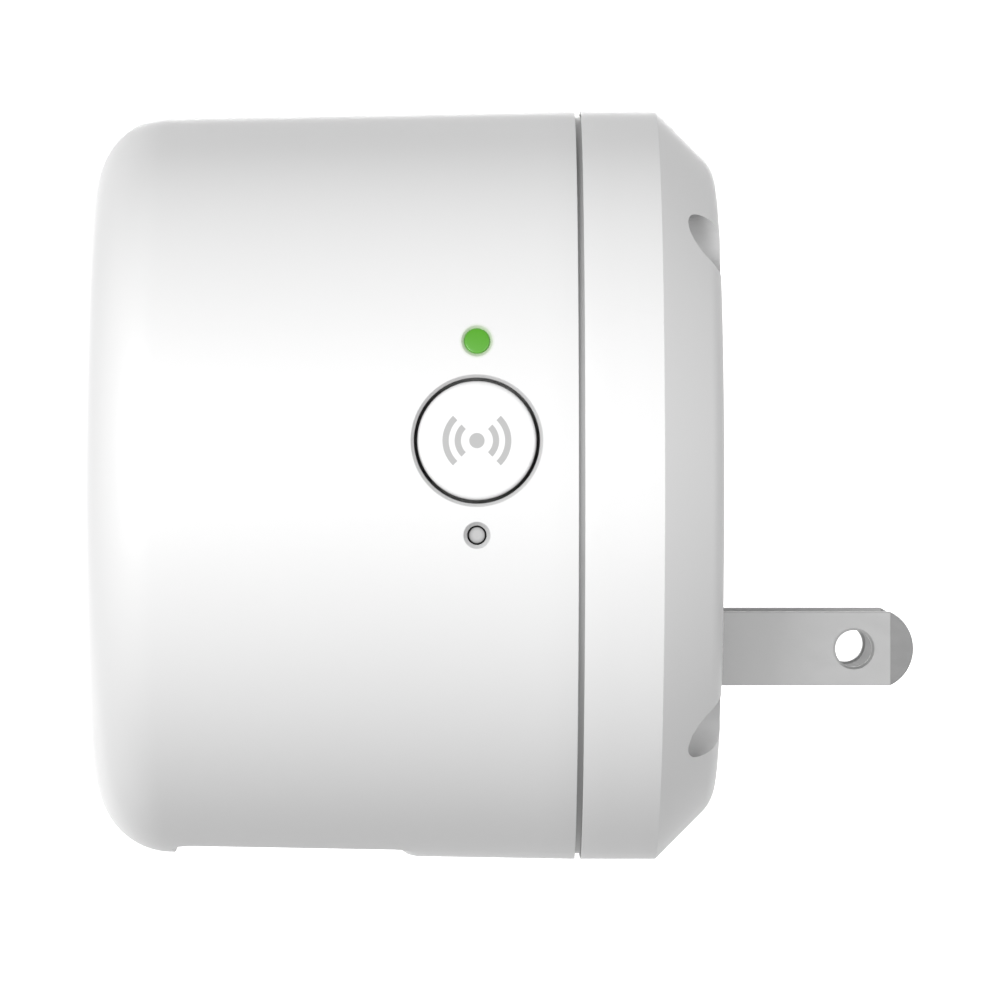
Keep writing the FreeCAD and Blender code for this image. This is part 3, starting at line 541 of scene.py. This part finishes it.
def near_control(tree, z, start, end):
    """1 within a radius of a control's axis and 0 beyond another, on the control side only."""
    place = own_place(tree)
    steps = (
        ("SUBTRACT", (CONTROL_X * MM, 0.0, z * MM)),
        ("MULTIPLY", (1.0, 0.0, 1.0)),
        ("LENGTH", (0.0, 0.0, 0.0)))
    flat = place
    for operation, amount in steps:
        step = tree.nodes.new("ShaderNodeVectorMath")
        step.operation = operation
        step.inputs[1].default_value = amount
        tree.links.new(flat, step.inputs[0])
        flat = step.outputs["Value" if operation == "LENGTH" else "Vector"]
    near = ranged(tree, flat, 1.0, 0.0, start * MM, end * MM)
    ahead = ranged(tree, component(tree, place, "Y"), 1.0, 0.0, -MM, 0.0)
    return calculated(tree, "MULTIPLY", near, ahead)


def base_colour(material):
    """The material's tree, its shader and what feeds the shader's base colour."""
    tree = material.node_tree
    shader = tree.nodes["Principled BSDF"]
    return tree, shader, shader.inputs["Base Color"].links[0].from_socket


def scale_colour(material, share):
    """Multiply a material's base colour by a share."""
    tree, shader, plain = base_colour(material)
    step = tree.nodes.new("ShaderNodeVectorMath")
    step.operation = "SCALE"
    tree.links.new(plain, step.inputs[0])
    tree.links.new(share, step.inputs["Scale"])
    tree.links.new(step.outputs["Vector"], shader.inputs["Base Color"])


def add_painted_light_spill(material, spill_colour):
    """Paint the status light's green light spill onto the moulding close round it."""
    tree, shader, plain = base_colour(material)
    mix = tree.nodes.new("ShaderNodeMix")
    mix.data_type = "RGBA"
    mix.inputs["B"].default_value = (*spill_colour, 1)
    near = near_control(tree, LIGHT_Z, LIGHT_GLOW_START, LIGHT_GLOW_END)
    tree.links.new(near, mix.inputs["Factor"])
    tree.links.new(plain, mix.inputs["A"])
    tree.links.new(mix.outputs["Result"], shader.inputs["Base Color"])


def add_rim_shade(material, z, radius, darker):
    """Shade a control's chamfered rim and the gap inside it."""
    tree = material.node_tree
    near = near_control(tree, z, radius, radius + RIM_FADE)
    scale_colour(material, ranged(tree, near, 1.0, darker))


def add_painted_recess_shade(material, reach, darkest):
    """Paint shade into the narrow gaps and corners, by how much of the part stands within a short reach."""
    tree = material.node_tree
    room = tree.nodes.new("ShaderNodeAmbientOcclusion")
    room.samples = RECESS_SAMPLES
    room.inputs["Distance"].default_value = reach * MM
    scale_colour(material, ranged(tree, room.outputs["AO"], darkest, 1.0))


def add_painted_tip_shade(material, start, run, darker):
    """Paint shade on a finish beyond a place along X, for the darker reflection on the facet of the blade's
    thinned tip.
    """
    tree = material.node_tree
    reach = component(tree, own_place(tree), "X")
    scale_colour(material, ranged(tree, reach, 1.0, darker, start * MM, (start + run) * MM))


def add_dull_edge_painted_highlight(material, duller, highlight_gain):
    """Give the blades' sheared edges and hole walls, which face away from Y, a duller finish and a painted
    highlight that lightens their colour.
    """
    tree, shader, _ = base_colour(material)
    normal = tree.nodes.new("ShaderNodeNewGeometry").outputs["Normal"]
    size = calculated(tree, "ABSOLUTE", component(tree, normal, "Y"))
    plain = shader.inputs["Roughness"].links[0].from_socket
    dull = calculated(tree, "ADD", plain, ranged(tree, size, duller, 0.0, *FACE_TURN))
    tree.links.new(dull, shader.inputs["Roughness"])
    scale_colour(material, ranged(tree, size, highlight_gain, 1.0, *FACE_TURN))


def add_light(material, colour, strength):
    """Let a material shine by itself."""
    shader = material.node_tree.nodes["Principled BSDF"]
    shader.inputs["Emission Color"].default_value = (*colour, 1)
    shader.inputs["Emission Strength"].default_value = strength


# name: colour, roughness, scale of the grain, relief, variation, metal, stretch, coat
FINISHES = {
    "case_white": ((0.80, 0.80, 0.80), 0.38, 1600.0, 0.02, 0.012),
    "button_white": ((0.82, 0.82, 0.82), 0.38, 1600.0, 0.02, 0.012),
    "reset_grey": ((0.46, 0.46, 0.46), 0.45, 1600.0, 0.03, 0.02),
    "light_green": ((0.045, 0.20, 0.012), 0.3, 900.0, 0.01, 0.03),
    "led_white": ((0.80, 0.80, 0.74), 0.4, 900.0, 0.02),
    "blade_nickel": ((0.28, 0.28, 0.28), 0.36, 1500.0, 0.12, 0.03, 1.0, (0.5, 1, 1)),
    "screw_steel": ((0.50, 0.50, 0.51), 0.35, 1200.0, 0.10, 0.04, 1.0),
    "carrier_white": ((0.76, 0.76, 0.73), 0.5, 1100.0, 0.04),
    "board_green": ((0.03, 0.18, 0.07), 0.35, 500.0, 0.05, 0.15, 0.0, None, 0.3),
    "board_tan": ((0.46, 0.30, 0.13), 0.55, 700.0, 0.06, 0.12),
    "capacitor_sleeve": ((0.02, 0.03, 0.06), 0.25, 400.0, 0.02, 0.05, 0.0, None, 0.4),
    "ferrite": ((0.05, 0.05, 0.05), 0.6, 1500.0, 0.15, 0.1),
    "winding_tape": ((0.66, 0.44, 0.05), 0.3, 600.0, 0.05, 0.05, 0.0, (1, 1, 6)),
    "bobbin_black": ((0.03, 0.03, 0.03), 0.5, 1200.0, 0.05, 0.1),
    "chip_black": ((0.025, 0.025, 0.025), 0.6, 2500.0, 0.1, 0.1),
    "resistor_green": ((0.12, 0.25, 0.14), 0.6, 1300.0, 0.2, 0.08),
    "capacitor_blue": ((0.04, 0.16, 0.40), 0.4, 900.0, 0.08, 0.06),
    "insulation_film": ((0.72, 0.72, 0.66), 0.35, 300.0, 0.03, 0.03),
    "connector_black": ((0.02, 0.02, 0.02), 0.45, 1200.0, 0.04, 0.1),
    "switch_black": ((0.03, 0.03, 0.03), 0.5, 1200.0, 0.04, 0.1),
    "plunger_white": ((0.72, 0.72, 0.72), 0.4, 1200.0, 0.03),
    "can_tinplate": ((0.62, 0.62, 0.60), 0.3, 900.0, 0.08, 0.05, 1.0, (1, 8, 1)),
    "pad_grey": ((0.30, 0.32, 0.35), 0.8, 900.0, 0.15, 0.05),
    "sink_aluminium": ((0.68, 0.68, 0.70), 0.38, 900.0, 0.10, 0.04, 1.0, (8, 1, 1)),
    "antenna_strip": ((0.56, 0.48, 0.30), 0.32, 900.0, 0.08, 0.05, 1.0, (1, 1, 8)),
    "crystal_can": ((0.62, 0.62, 0.62), 0.28, 900.0, 0.05, 0.04, 1.0),
}
MATERIALS = {name: surfaced(name, *finish) for name, finish in FINISHES.items()}
PRINT_GREY = surfaced("print_grey", (0.43, 0.43, 0.43), 0.5, 1600.0, 0.01, 0.015)
# painted shade in the gaps and corners of the case, the button and the reset pin
add_painted_recess_shade(MATERIALS["case_white"], reach=2.0, darkest=0.28)
add_painted_recess_shade(MATERIALS["button_white"], reach=0.6, darkest=0.4)
add_painted_recess_shade(MATERIALS["reset_grey"], reach=0.5, darkest=0.0)
add_rim_shade(MATERIALS["case_white"], BUTTON_Z, BUTTON_HOLE + BUTTON_RIM, darker=0.82)
add_rim_shade(MATERIALS["case_white"], RESET_Z, RESET_HOLE + RESET_RIM, darker=0.79)
# painted green light from the status light, spilling onto the moulding round it
add_painted_light_spill(MATERIALS["case_white"], spill_colour=(0.52, 0.63, 0.43))
add_light(MATERIALS["light_green"], colour=(0.11, 0.38, 0.03), strength=0.5)
# painted shade on the facet of each blade's thinned tip
add_painted_tip_shade(MATERIALS["blade_nickel"], start=BLADE_BEVEL_X - 0.1, run=0.12, darker=0.43)
# duller sheared edges on the blades, with a painted highlight on them
add_dull_edge_painted_highlight(MATERIALS["blade_nickel"], duller=0.40, highlight_gain=1.95)

for name, node in NODES.items():
    node.data.materials.clear()
    node.data.materials.append(MATERIALS[SLOT_OF[name]])
    node.data.shade_smooth()
    node.data.set_sharp_from_angle(angle=math.radians(SHARP_NODE))


# --- front housing ------------------------------------------------------------------------------
def front_shell():
    """The open cup, with the lap that the rear cover's tongue slides into."""
    outline = front_outline(0.0, MOUTH_X)[:-1]
    lip = (MOUTH_X - LIP_ROUND, CASE_RADIUS - LIP_ROUND)
    outline += arc(lip, LIP_ROUND, math.pi / 2, 0.0, SMALL_ROUND_STEPS)
    outline += [(MOUTH_X, LAP_RADIUS), (LAP_END, LAP_RADIUS)]
    outline += list(reversed(front_outline(WALL, LAP_END)))
    made = bmesh.new()
    add_turned(made, outline)
    return as_piece(made, "case_front")


def front_inner():
    """Screw bosses, board posts with their ribs and collars, kept inside the cup's wall."""
    made = bmesh.new()
    for place in screw_places():
        add_rod(made, BOSS_RADIUS, -CASE_DEPTH, PILLAR_X, place)
    for place, angle in zip(post_places(), POST_ANGLES):
        add_rod(made, POST_RADIUS, -CASE_DEPTH, POST_END, place)
        rib_low = (-CASE_DEPTH, POST_CIRCLE, -POST_RIB / 2)
        rib_high = (POST_END - POST_RIB_SETBACK, CASE_RADIUS, POST_RIB / 2)
        add_box(made, rib_low, rib_high, math.radians(angle))
    for z, radius, end_y in (
            (BUTTON_Z, BUTTON_HOLE + COLLAR_WALL, COLLAR_Y),
            (RESET_Z, RESET_HOLE + COLLAR_WALL, COLLAR_Y),
            (LIGHT_Z, LIGHT_RADIUS + COLLAR_WALL, LIGHT_COLLAR_Y)):
        rod = [(-CASE_RADIUS, 0), (-CASE_RADIUS, radius), (end_y, radius), (end_y, 0)]
        add_turned(made, rod, "Y", (CONTROL_X, z), HOLE_STEPS)
    inner = as_piece(made, "inner")
    made = bmesh.new()
    add_turned(made, front_outline(WALL / 2, MOUTH_X) + [(MOUTH_X, 0.0)])
    combine(inner, as_piece(made, "keep"), "INTERSECT", True)
    return inner


def vent_recess():
    """Tool for the sunk vent panel, with rounded corners in plan and a ramp at its rear."""
    made = bmesh.new()
    front, rear, ramp = VENT_FRONT, VENT_REAR, VENT_REAR - VENT_RAMP
    clear = CASE_RADIUS + OVERRUN
    knee = (rear - VENT_RAMP * VENT_KNEE_RUN, side_radius(rear, VENT_SINK * VENT_KNEE_SINK))
    add_turned(made, [
        (front, side_radius(front, VENT_SINK)),
        (ramp, side_radius(ramp, VENT_SINK)),
        ((ramp + knee[0]) / 2, side_radius(ramp, VENT_SINK * VENT_FOOT_SINK)),
        knee,
        (rear, side_radius(rear)),
        (rear, clear),
        (front, clear)])
    sink = as_piece(made, "sink")
    made = bmesh.new()
    plan = []
    half = VENT_WIDTH / 2
    for x, y, turn in (
            (rear, half, 0), (front, half, 1), (front, -half, 2), (rear, -half, 3)):
        corner = (x - math.copysign(VENT_CORNER, x - (front + rear) / 2), y - math.copysign(VENT_CORNER, y))
        start = turn * math.pi / 2
        plan += arc(corner, VENT_CORNER, start, (turn + 1) * math.pi / 2, VENT_CORNER_STEPS)
    add_stack(made, [[(x, y, level) for x, y in plan] for level in (-clear - OVERRUN, 0.0)])
    combine(sink, as_piece(made, "plan"), "INTERSECT")
    return sink


def front_holes():
    """Tool for the three control holes, the vent slots and the screws' pilot holes."""
    made = bmesh.new()
    for z, radius, rim, steps in (
            (BUTTON_Z, BUTTON_HOLE, BUTTON_RIM, BUTTON_STEPS),
            (RESET_Z, RESET_HOLE, RESET_RIM, PIN_STEPS),
            (LIGHT_Z, LIGHT_HOLE, LIGHT_RIM, PIN_STEPS)):
        add_rim_tool(made, circle((CONTROL_X, z), steps), radius, rim, CONTROL_HOLE_END, "controls")
    for number in range(VENT_COUNT):
        x = VENT_FRONT + VENT_MARGIN + VENT_SLOT_WIDTH / 2 + number * VENT_PITCH
        loop = stadium((x, 0.0), (VENT_SLOT_LENGTH - VENT_SLOT_WIDTH) / 2)
        add_rim_tool(made, loop, VENT_SLOT_WIDTH / 2, VENT_RIM, -CASE_RADIUS / 2, "vents", VENT_SINK)
    for place in screw_places():
        add_rod(made, SCREW_PILOT, SCREW_PILOT_END, PILLAR_X + OVERRUN, place, PILOT_STEPS)
    for place in post_places():
        add_rod(made, POST_PILOT, POST_PILOT_END, POST_END + OVERRUN, place, PILOT_STEPS)
    return as_piece(made, "holes")


def front_housing():
    """The large cup that faces the room."""
    shell = front_shell()
    combine(shell, front_inner(), "UNION")
    combine(shell, vent_recess(), "DIFFERENCE")
    combine(shell, front_holes(), "DIFFERENCE")
    return shell


dress(front_housing(), "case", "front_housing")


# --- rear cover ---------------------------------------------------------------------------------
def rear_shell():
    """The short band with its chamfer and rear face, and the tongue inside the front housing."""
    outline = rear_outline(0.0, SEAM_X)[:-1]
    lip = (SEAM_X + LIP_ROUND, CASE_RADIUS - LIP_ROUND)
    outline += arc(lip, LIP_ROUND, math.pi / 2, math.pi, SMALL_ROUND_STEPS)
    land = CASE_RADIUS - SEAM_STEP
    tongue = LAP_RADIUS - LAP_CLEARANCE
    outline += [(SEAM_X, land), (MOUTH_X, land), (MOUTH_X, tongue), (TONGUE_X, tongue)]
    outline += list(reversed(rear_outline(WALL, TONGUE_X, INNER_CREASE_ROUND)))
    made = bmesh.new()
    add_turned(made, outline)
    return as_piece(made, "case_rear")


def rear_inner():
    """Pillars round the screw wells and posts for the power board, kept inside the cover's wall."""
    made = bmesh.new()
    for place in screw_places():
        add_rod(made, PILLAR_RADIUS, PILLAR_X, -WALL / 2, place)
    for place in power_post_places():
        add_rod(made, POWER_POST_RADIUS, POWER_POST_END, -WALL / 2, place)
    inner = as_piece(made, "inner")
    made = bmesh.new()
    free = side_radius(PILLAR_X, WALL) - LAP_CLEARANCE
    room = rear_outline(WALL / 2 + 2 * LAP_CLEARANCE, TONGUE_X, INNER_CREASE_ROUND)
    room += [(TONGUE_X, free), (PILLAR_X - OVERRUN, free), (PILLAR_X - OVERRUN, 0.0)]
    add_turned(made, room)
    combine(inner, as_piece(made, "keep"), "INTERSECT")
    return inner


def rear_holes():
    """Tool for the screw wells, the power board's pilot holes and the blade slots."""
    made = bmesh.new()
    for y, z in screw_places():
        well = [
            (PILLAR_X - OVERRUN, 0), (PILLAR_X - OVERRUN, SCREW_HOLE), (WELL_X, SCREW_HOLE),
            (WELL_X, WELL_RADIUS), (OVERRUN, WELL_RADIUS), (OVERRUN, 0)]
        add_turned(made, well, "X", (y, z), HOLE_STEPS)
    for place in power_post_places():
        add_rod(made, POST_PILOT, POWER_POST_END - OVERRUN, POWER_PILOT_END, place, PILOT_STEPS)
    half_y = BLADE_HALF_Y + BLADE_CLEARANCE
    half_z = BLADE_HALF_Z + BLADE_CLEARANCE
    for y in (-BLADE_Y, BLADE_Y):
        low = (BLADE_SLOT_END, y - half_y, BLADE_Z - half_z)
        add_box(made, low, (OVERRUN, y + half_y, BLADE_Z + half_z))
    return as_piece(made, "holes")


def rear_cover():
    """The short cover on the wall's side, which carries the blades."""
    shell = rear_shell()
    combine(shell, rear_inner(), "UNION")
    combine(shell, rear_holes(), "DIFFERENCE")
    return shell


dress(rear_cover(), "case", "rear_cover")


# --- controls -----------------------------------------------------------------------------------
def cap_face(z, radius, edge, sink, dome):
    """Loops of a control's face and of its rounded edge, from the middle outwards."""
    levels = [(radius - edge) * (step / CAP_FACE_STEPS) for step in range(1, CAP_FACE_STEPS + 1)]
    rows = [(level, dome * (1 - (level / radius) ** 2), 0.0) for level in levels]
    for step in range(1, CAP_EDGE_STEPS + 1):
        turn = math.pi / 2 * step / CAP_EDGE_STEPS
        level = radius - edge + edge * math.sin(turn)
        rows.append((level, dome * (1 - (level / radius) ** 2), edge * (1 - math.cos(turn))))
    loops = []
    for level, rise, drop in rows:
        loop = circle((CONTROL_X, z), BUTTON_STEPS)(level)
        loops.append([(x, surface(x, across, sink) - rise + drop, across) for x, across in loop])
    return loops


def cap_back(z, radius, flange_y, flange, flange_half, stem, stem_y):
    """Loops of a control's body, of its flange, which may be cut flat above and below, and its stem."""
    inner_y = flange_y + FLANGE_THICKNESS
    levels = ((radius, flange_y), (flange, flange_y), (flange, inner_y), (stem, inner_y), (stem, stem_y))
    loops = []
    for level, y in levels:
        loop = []
        for step in range(BUTTON_STEPS):
            turn = 2 * math.pi * step / BUTTON_STEPS
            reach = level
            if level == flange and flange_half:
                reach = min(level, flange_half / max(abs(math.sin(turn)), TINY))
            loop.append((CONTROL_X + reach * math.cos(turn), y, z + reach * math.sin(turn)))
        loops.append(loop)
    return loops


def cap(name, z, radius, edge, flange_y, flange, stem, stem_y, sink=0.0, flange_half=0.0, dome=0.0):
    """A round control that follows the case's side: face, rounded edge, flange and stem."""
    made = bmesh.new()
    back = cap_back(z, radius, flange_y, flange, flange_half, stem, stem_y)
    add_stack(made, cap_face(z, radius, edge, sink, dome) + back)
    return as_piece(made, name)


def wps_button():
    """The large round button."""
    return cap(
        "button_cap", BUTTON_Z, BUTTON_RADIUS, BUTTON_ROUND,
        flange_y=COLLAR_Y + FLANGE_CLEARANCE, flange=BUTTON_FLANGE, flange_half=BUTTON_FLANGE_HALF,
        stem=BUTTON_STEM, stem_y=PLUNGER_Y + STEM_BITE)


def reset_pin():
    """The pin sunk in the small hole."""
    return cap(
        "reset_cap", RESET_Z, RESET_RADIUS, RESET_ROUND, sink=RESET_SINK,
        flange_y=COLLAR_Y + FLANGE_CLEARANCE, flange=RESET_FLANGE,
        stem=RESET_RADIUS, stem_y=PLUNGER_Y + STEM_BITE)


def light_pipe():
    """The status light's pipe, with a slight dome."""
    return cap(
        "light_lens", LIGHT_Z, LIGHT_RADIUS, LIGHT_ROUND, dome=LIGHT_DOME,
        flange_y=LIGHT_COLLAR_Y, flange=LIGHT_FLANGE,
        stem=LIGHT_RADIUS, stem_y=LIGHT_COLLAR_Y + FLANGE_THICKNESS + LIGHT_TAIL)


dress(wps_button(), "button", "wps_button", SHARP_CAP)
dress(reset_pin(), "reset", "reset_pin", SHARP_CAP)
dress(light_pipe(), "case", "status_light_pipe", SHARP_CAP)


# --- mark on the button: waves on both sides of a dot -------------------------------------------
MARK_LIFT = 0.012
MARK_DEPTH = 0.02
MARK_DOT = 0.62
MARK_WAVES = ((1.32, 1.82), (2.32, 2.82))
MARK_SPREAD = math.radians(46)


def add_print(made, inner_loop, outer_loop):
    """Thin print between two open lines of (x, z) places, laid on the button's face."""
    def place(x, z, lift):
        x, z = CONTROL_X + x, BUTTON_Z + z
        return (x, surface(x, z) - lift, z)
    corners = [
        [made.verts.new(place(*spot, lift)) for spot in loop]
        for loop, lift in (
            (inner_loop, MARK_LIFT), (outer_loop, MARK_LIFT),
            (outer_loop, MARK_LIFT - MARK_DEPTH), (inner_loop, MARK_LIFT - MARK_DEPTH))]
    for first, second in zip(corners, corners[1:] + corners[:1]):
        for step in range(len(first) - 1):
            made.faces.new((first[step], first[step + 1], second[step + 1], second[step]))
    for end in (0, -1):
        made.faces.new([loop[end] for loop in corners])


def button_mark():
    """A dot with two waves to each side of it."""
    made = bmesh.new()
    for low, high in MARK_WAVES:
        for turn in (0.0, math.pi):
            start, end = turn - MARK_SPREAD, turn + MARK_SPREAD
            add_print(made, *(arc((0, 0), radius, start, end, MARK_STEPS) for radius in (low, high)))
    spots = circle((CONTROL_X, BUTTON_Z), MARK_DOT_STEPS)(MARK_DOT)
    add_stack(made, [
        [(x, surface(x, z) - lift, z) for x, z in spots] for lift in (MARK_LIFT, MARK_LIFT - MARK_DEPTH)])
    return as_piece(made, "button_mark", MM)


mark = button_mark()
mark.data.materials.append(PRINT_GREY)
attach(mark, "button")


# --- plug blades --------------------------------------------------------------------------------
def blade_plan():
    """Upper edge, rounded nose and lower edge of a blade, as places along X and Z."""
    tip_centre = BLADE_LENGTH - BLADE_TIP_RADIUS
    corner_x = BLADE_LENGTH - BLADE_TIP_RADIUS + math.sqrt(BLADE_TIP_RADIUS ** 2 - BLADE_HALF_Z ** 2)
    bevel_turn = math.acos((BLADE_BEVEL_X - tip_centre) / BLADE_TIP_RADIUS)
    corner_turn = math.acos((corner_x - tip_centre) / BLADE_TIP_RADIUS)
    nose = arc((tip_centre, 0.0), BLADE_TIP_RADIUS, bevel_turn, -bevel_turn, TIP_STEPS)[1:-1]
    upper = [
        (TAIL_X, TAIL_HALF), (CARRIER_X, TAIL_HALF), (CARRIER_X, SHOULDER_HALF),
        (SHOULDER_X, SHOULDER_HALF), (SHOULDER_X, BLADE_HALF_Z), (corner_x, BLADE_HALF_Z)]
    upper += arc((tip_centre, 0.0), BLADE_TIP_RADIUS, corner_turn, bevel_turn, TIP_CORNER_STEPS)[1:]
    lower = [(x, -z) for x, z in upper[::-1]]
    return upper, nose, lower


def blade_blank(side):
    """A blade without its hole, thinned towards the tip from BLADE_BEVEL_X on."""
    made = bmesh.new()

    def corner(x, z, way):
        share = max(0.0, (x - BLADE_BEVEL_X) / (BLADE_LENGTH - BLADE_BEVEL_X))
        half = BLADE_HALF_Y + (BLADE_TIP_HALF - BLADE_HALF_Y) * share
        return made.verts.new((x, side * BLADE_Y + way * half, BLADE_Z + z))

    faces = []
    for way in (-1, 1):
        head, nose, foot = ([corner(*spot, way) for spot in part] for part in blade_plan())
        made.faces.new(head + foot)
        made.faces.new([head[-1], *nose, foot[0]])
        faces.append(head + nose + foot)
    for step in range(len(faces[0])):
        after = (step + 1) % len(faces[0])
        made.faces.new((faces[0][step], faces[0][after], faces[1][after], faces[1][step]))
    piece = as_piece(made, "blade_neutral" if side < 0 else "blade_line")
    ease = piece.modifiers.new("ease", "BEVEL")
    ease.width = BLADE_EDGE
    ease.segments = BLADE_EDGE_STEPS
    ease.limit_method = "ANGLE"
    ease.angle_limit = math.radians(EASED_FROM)
    bake(piece)
    return piece


def blade(side):
    """A plug blade, on the side of negative or positive Y, with a hole chamfered on both faces."""
    piece = blade_blank(side)
    made = bmesh.new()
    middle, half, rim = side * BLADE_Y, BLADE_HALF_Y, BLADE_HOLE_RIM
    near, far = middle - half, middle + half
    wide = BLADE_HOLE + rim + OVERRUN
    profile = [
        (near - OVERRUN, 0), (near - OVERRUN, wide), (near + rim, BLADE_HOLE),
        (far - rim, BLADE_HOLE), (far + OVERRUN, wide), (far + OVERRUN, 0)]
    add_turned(made, profile, "Y", (BLADE_HOLE_X, BLADE_Z), HOLE_STEPS)
    combine(piece, as_piece(made, "hole"), "DIFFERENCE")
    return piece


dress(blade(-1), "case", "plug_blade_neutral", SHARP_BLADE)
dress(blade(1), "case", "plug_blade_line", SHARP_BLADE)


# --- studio -------------------------------------------------------------------------------------
def studio_floor():
    """White ground that bends up into a round wall."""
    bend_radius = STUDIO_RADIUS - STUDIO_CURVE
    bend_centre = (STUDIO_CURVE - FLOOR_DROP, bend_radius)
    outline = [(-FLOOR_DROP, 0.0), (-FLOOR_DROP, bend_radius)]
    outline += arc(bend_centre, STUDIO_CURVE, math.pi, math.pi / 2, STUDIO_BEND_STEPS)[1:]
    outline += [(STUDIO_CURVE + STUDIO_WALL - FLOOR_DROP, STUDIO_RADIUS)]
    made = bmesh.new()
    add_turned(made, outline, "Z", (0.0, 0.0), STUDIO_STEPS, False)
    piece = as_piece(made, "studio_floor")
    piece.data.shade_smooth()
    paper, _, shader = new_material("studio_paper")
    shader.inputs["Base Color"].default_value = (PAPER_GREY, PAPER_GREY, PAPER_GREY, 1)
    shader.inputs["Roughness"].default_value = PAPER_ROUGHNESS
    shader.inputs["Emission Color"].default_value = (1, 1, 1, 1)
    shader.inputs["Emission Strength"].default_value = STUDIO_GLOW
    piece.data.materials.append(paper)
    piece.visible_diffuse = False
    piece.visible_shadow = False
    return piece


def add_lamp(name, place, aim, width, height, power):
    """An area lamp that points at its aim and doesn't show itself."""
    lamp = bpy.data.lights.new(name, "AREA")
    lamp.shape = "RECTANGLE"
    lamp.size = width
    lamp.size_y = height
    lamp.energy = power
    holder = bpy.data.objects.new(name, lamp)
    bpy.context.scene.collection.objects.link(holder)
    holder.location = place
    holder.rotation_euler = (Vector(aim) - Vector(place)).to_track_quat("-Z", "Y").to_euler()
    holder.visible_camera = False


def add_world():
    """Even white light from all round."""
    world = bpy.data.worlds.new("studio_world")
    world.use_nodes = True
    background = world.node_tree.nodes["Background"]
    background.inputs["Color"].default_value = (1, 1, 1, 1)
    background.inputs["Strength"].default_value = WORLD_STRENGTH
    bpy.context.scene.world = world
    bpy.context.scene.view_settings.view_transform = "Standard"


def add_camera():
    """The camera of the photo, level and looking along Y."""
    lens = bpy.data.cameras.new("camera")
    lens.lens = CAMERA_LENS
    lens.sensor_width = CAMERA_SENSOR
    lens.shift_x, lens.shift_y = CAMERA_SHIFT
    lens.clip_start = CAMERA_NEAREST
    camera = bpy.data.objects.new("camera", lens)
    bpy.context.scene.collection.objects.link(camera)
    camera.location = CAMERA_PLACE
    camera.rotation_euler = (math.radians(90), 0, 0)
    bpy.context.scene.camera = camera


studio = studio_floor()
for light in LIGHTS:
    add_lamp(*light)
add_world()
add_camera()
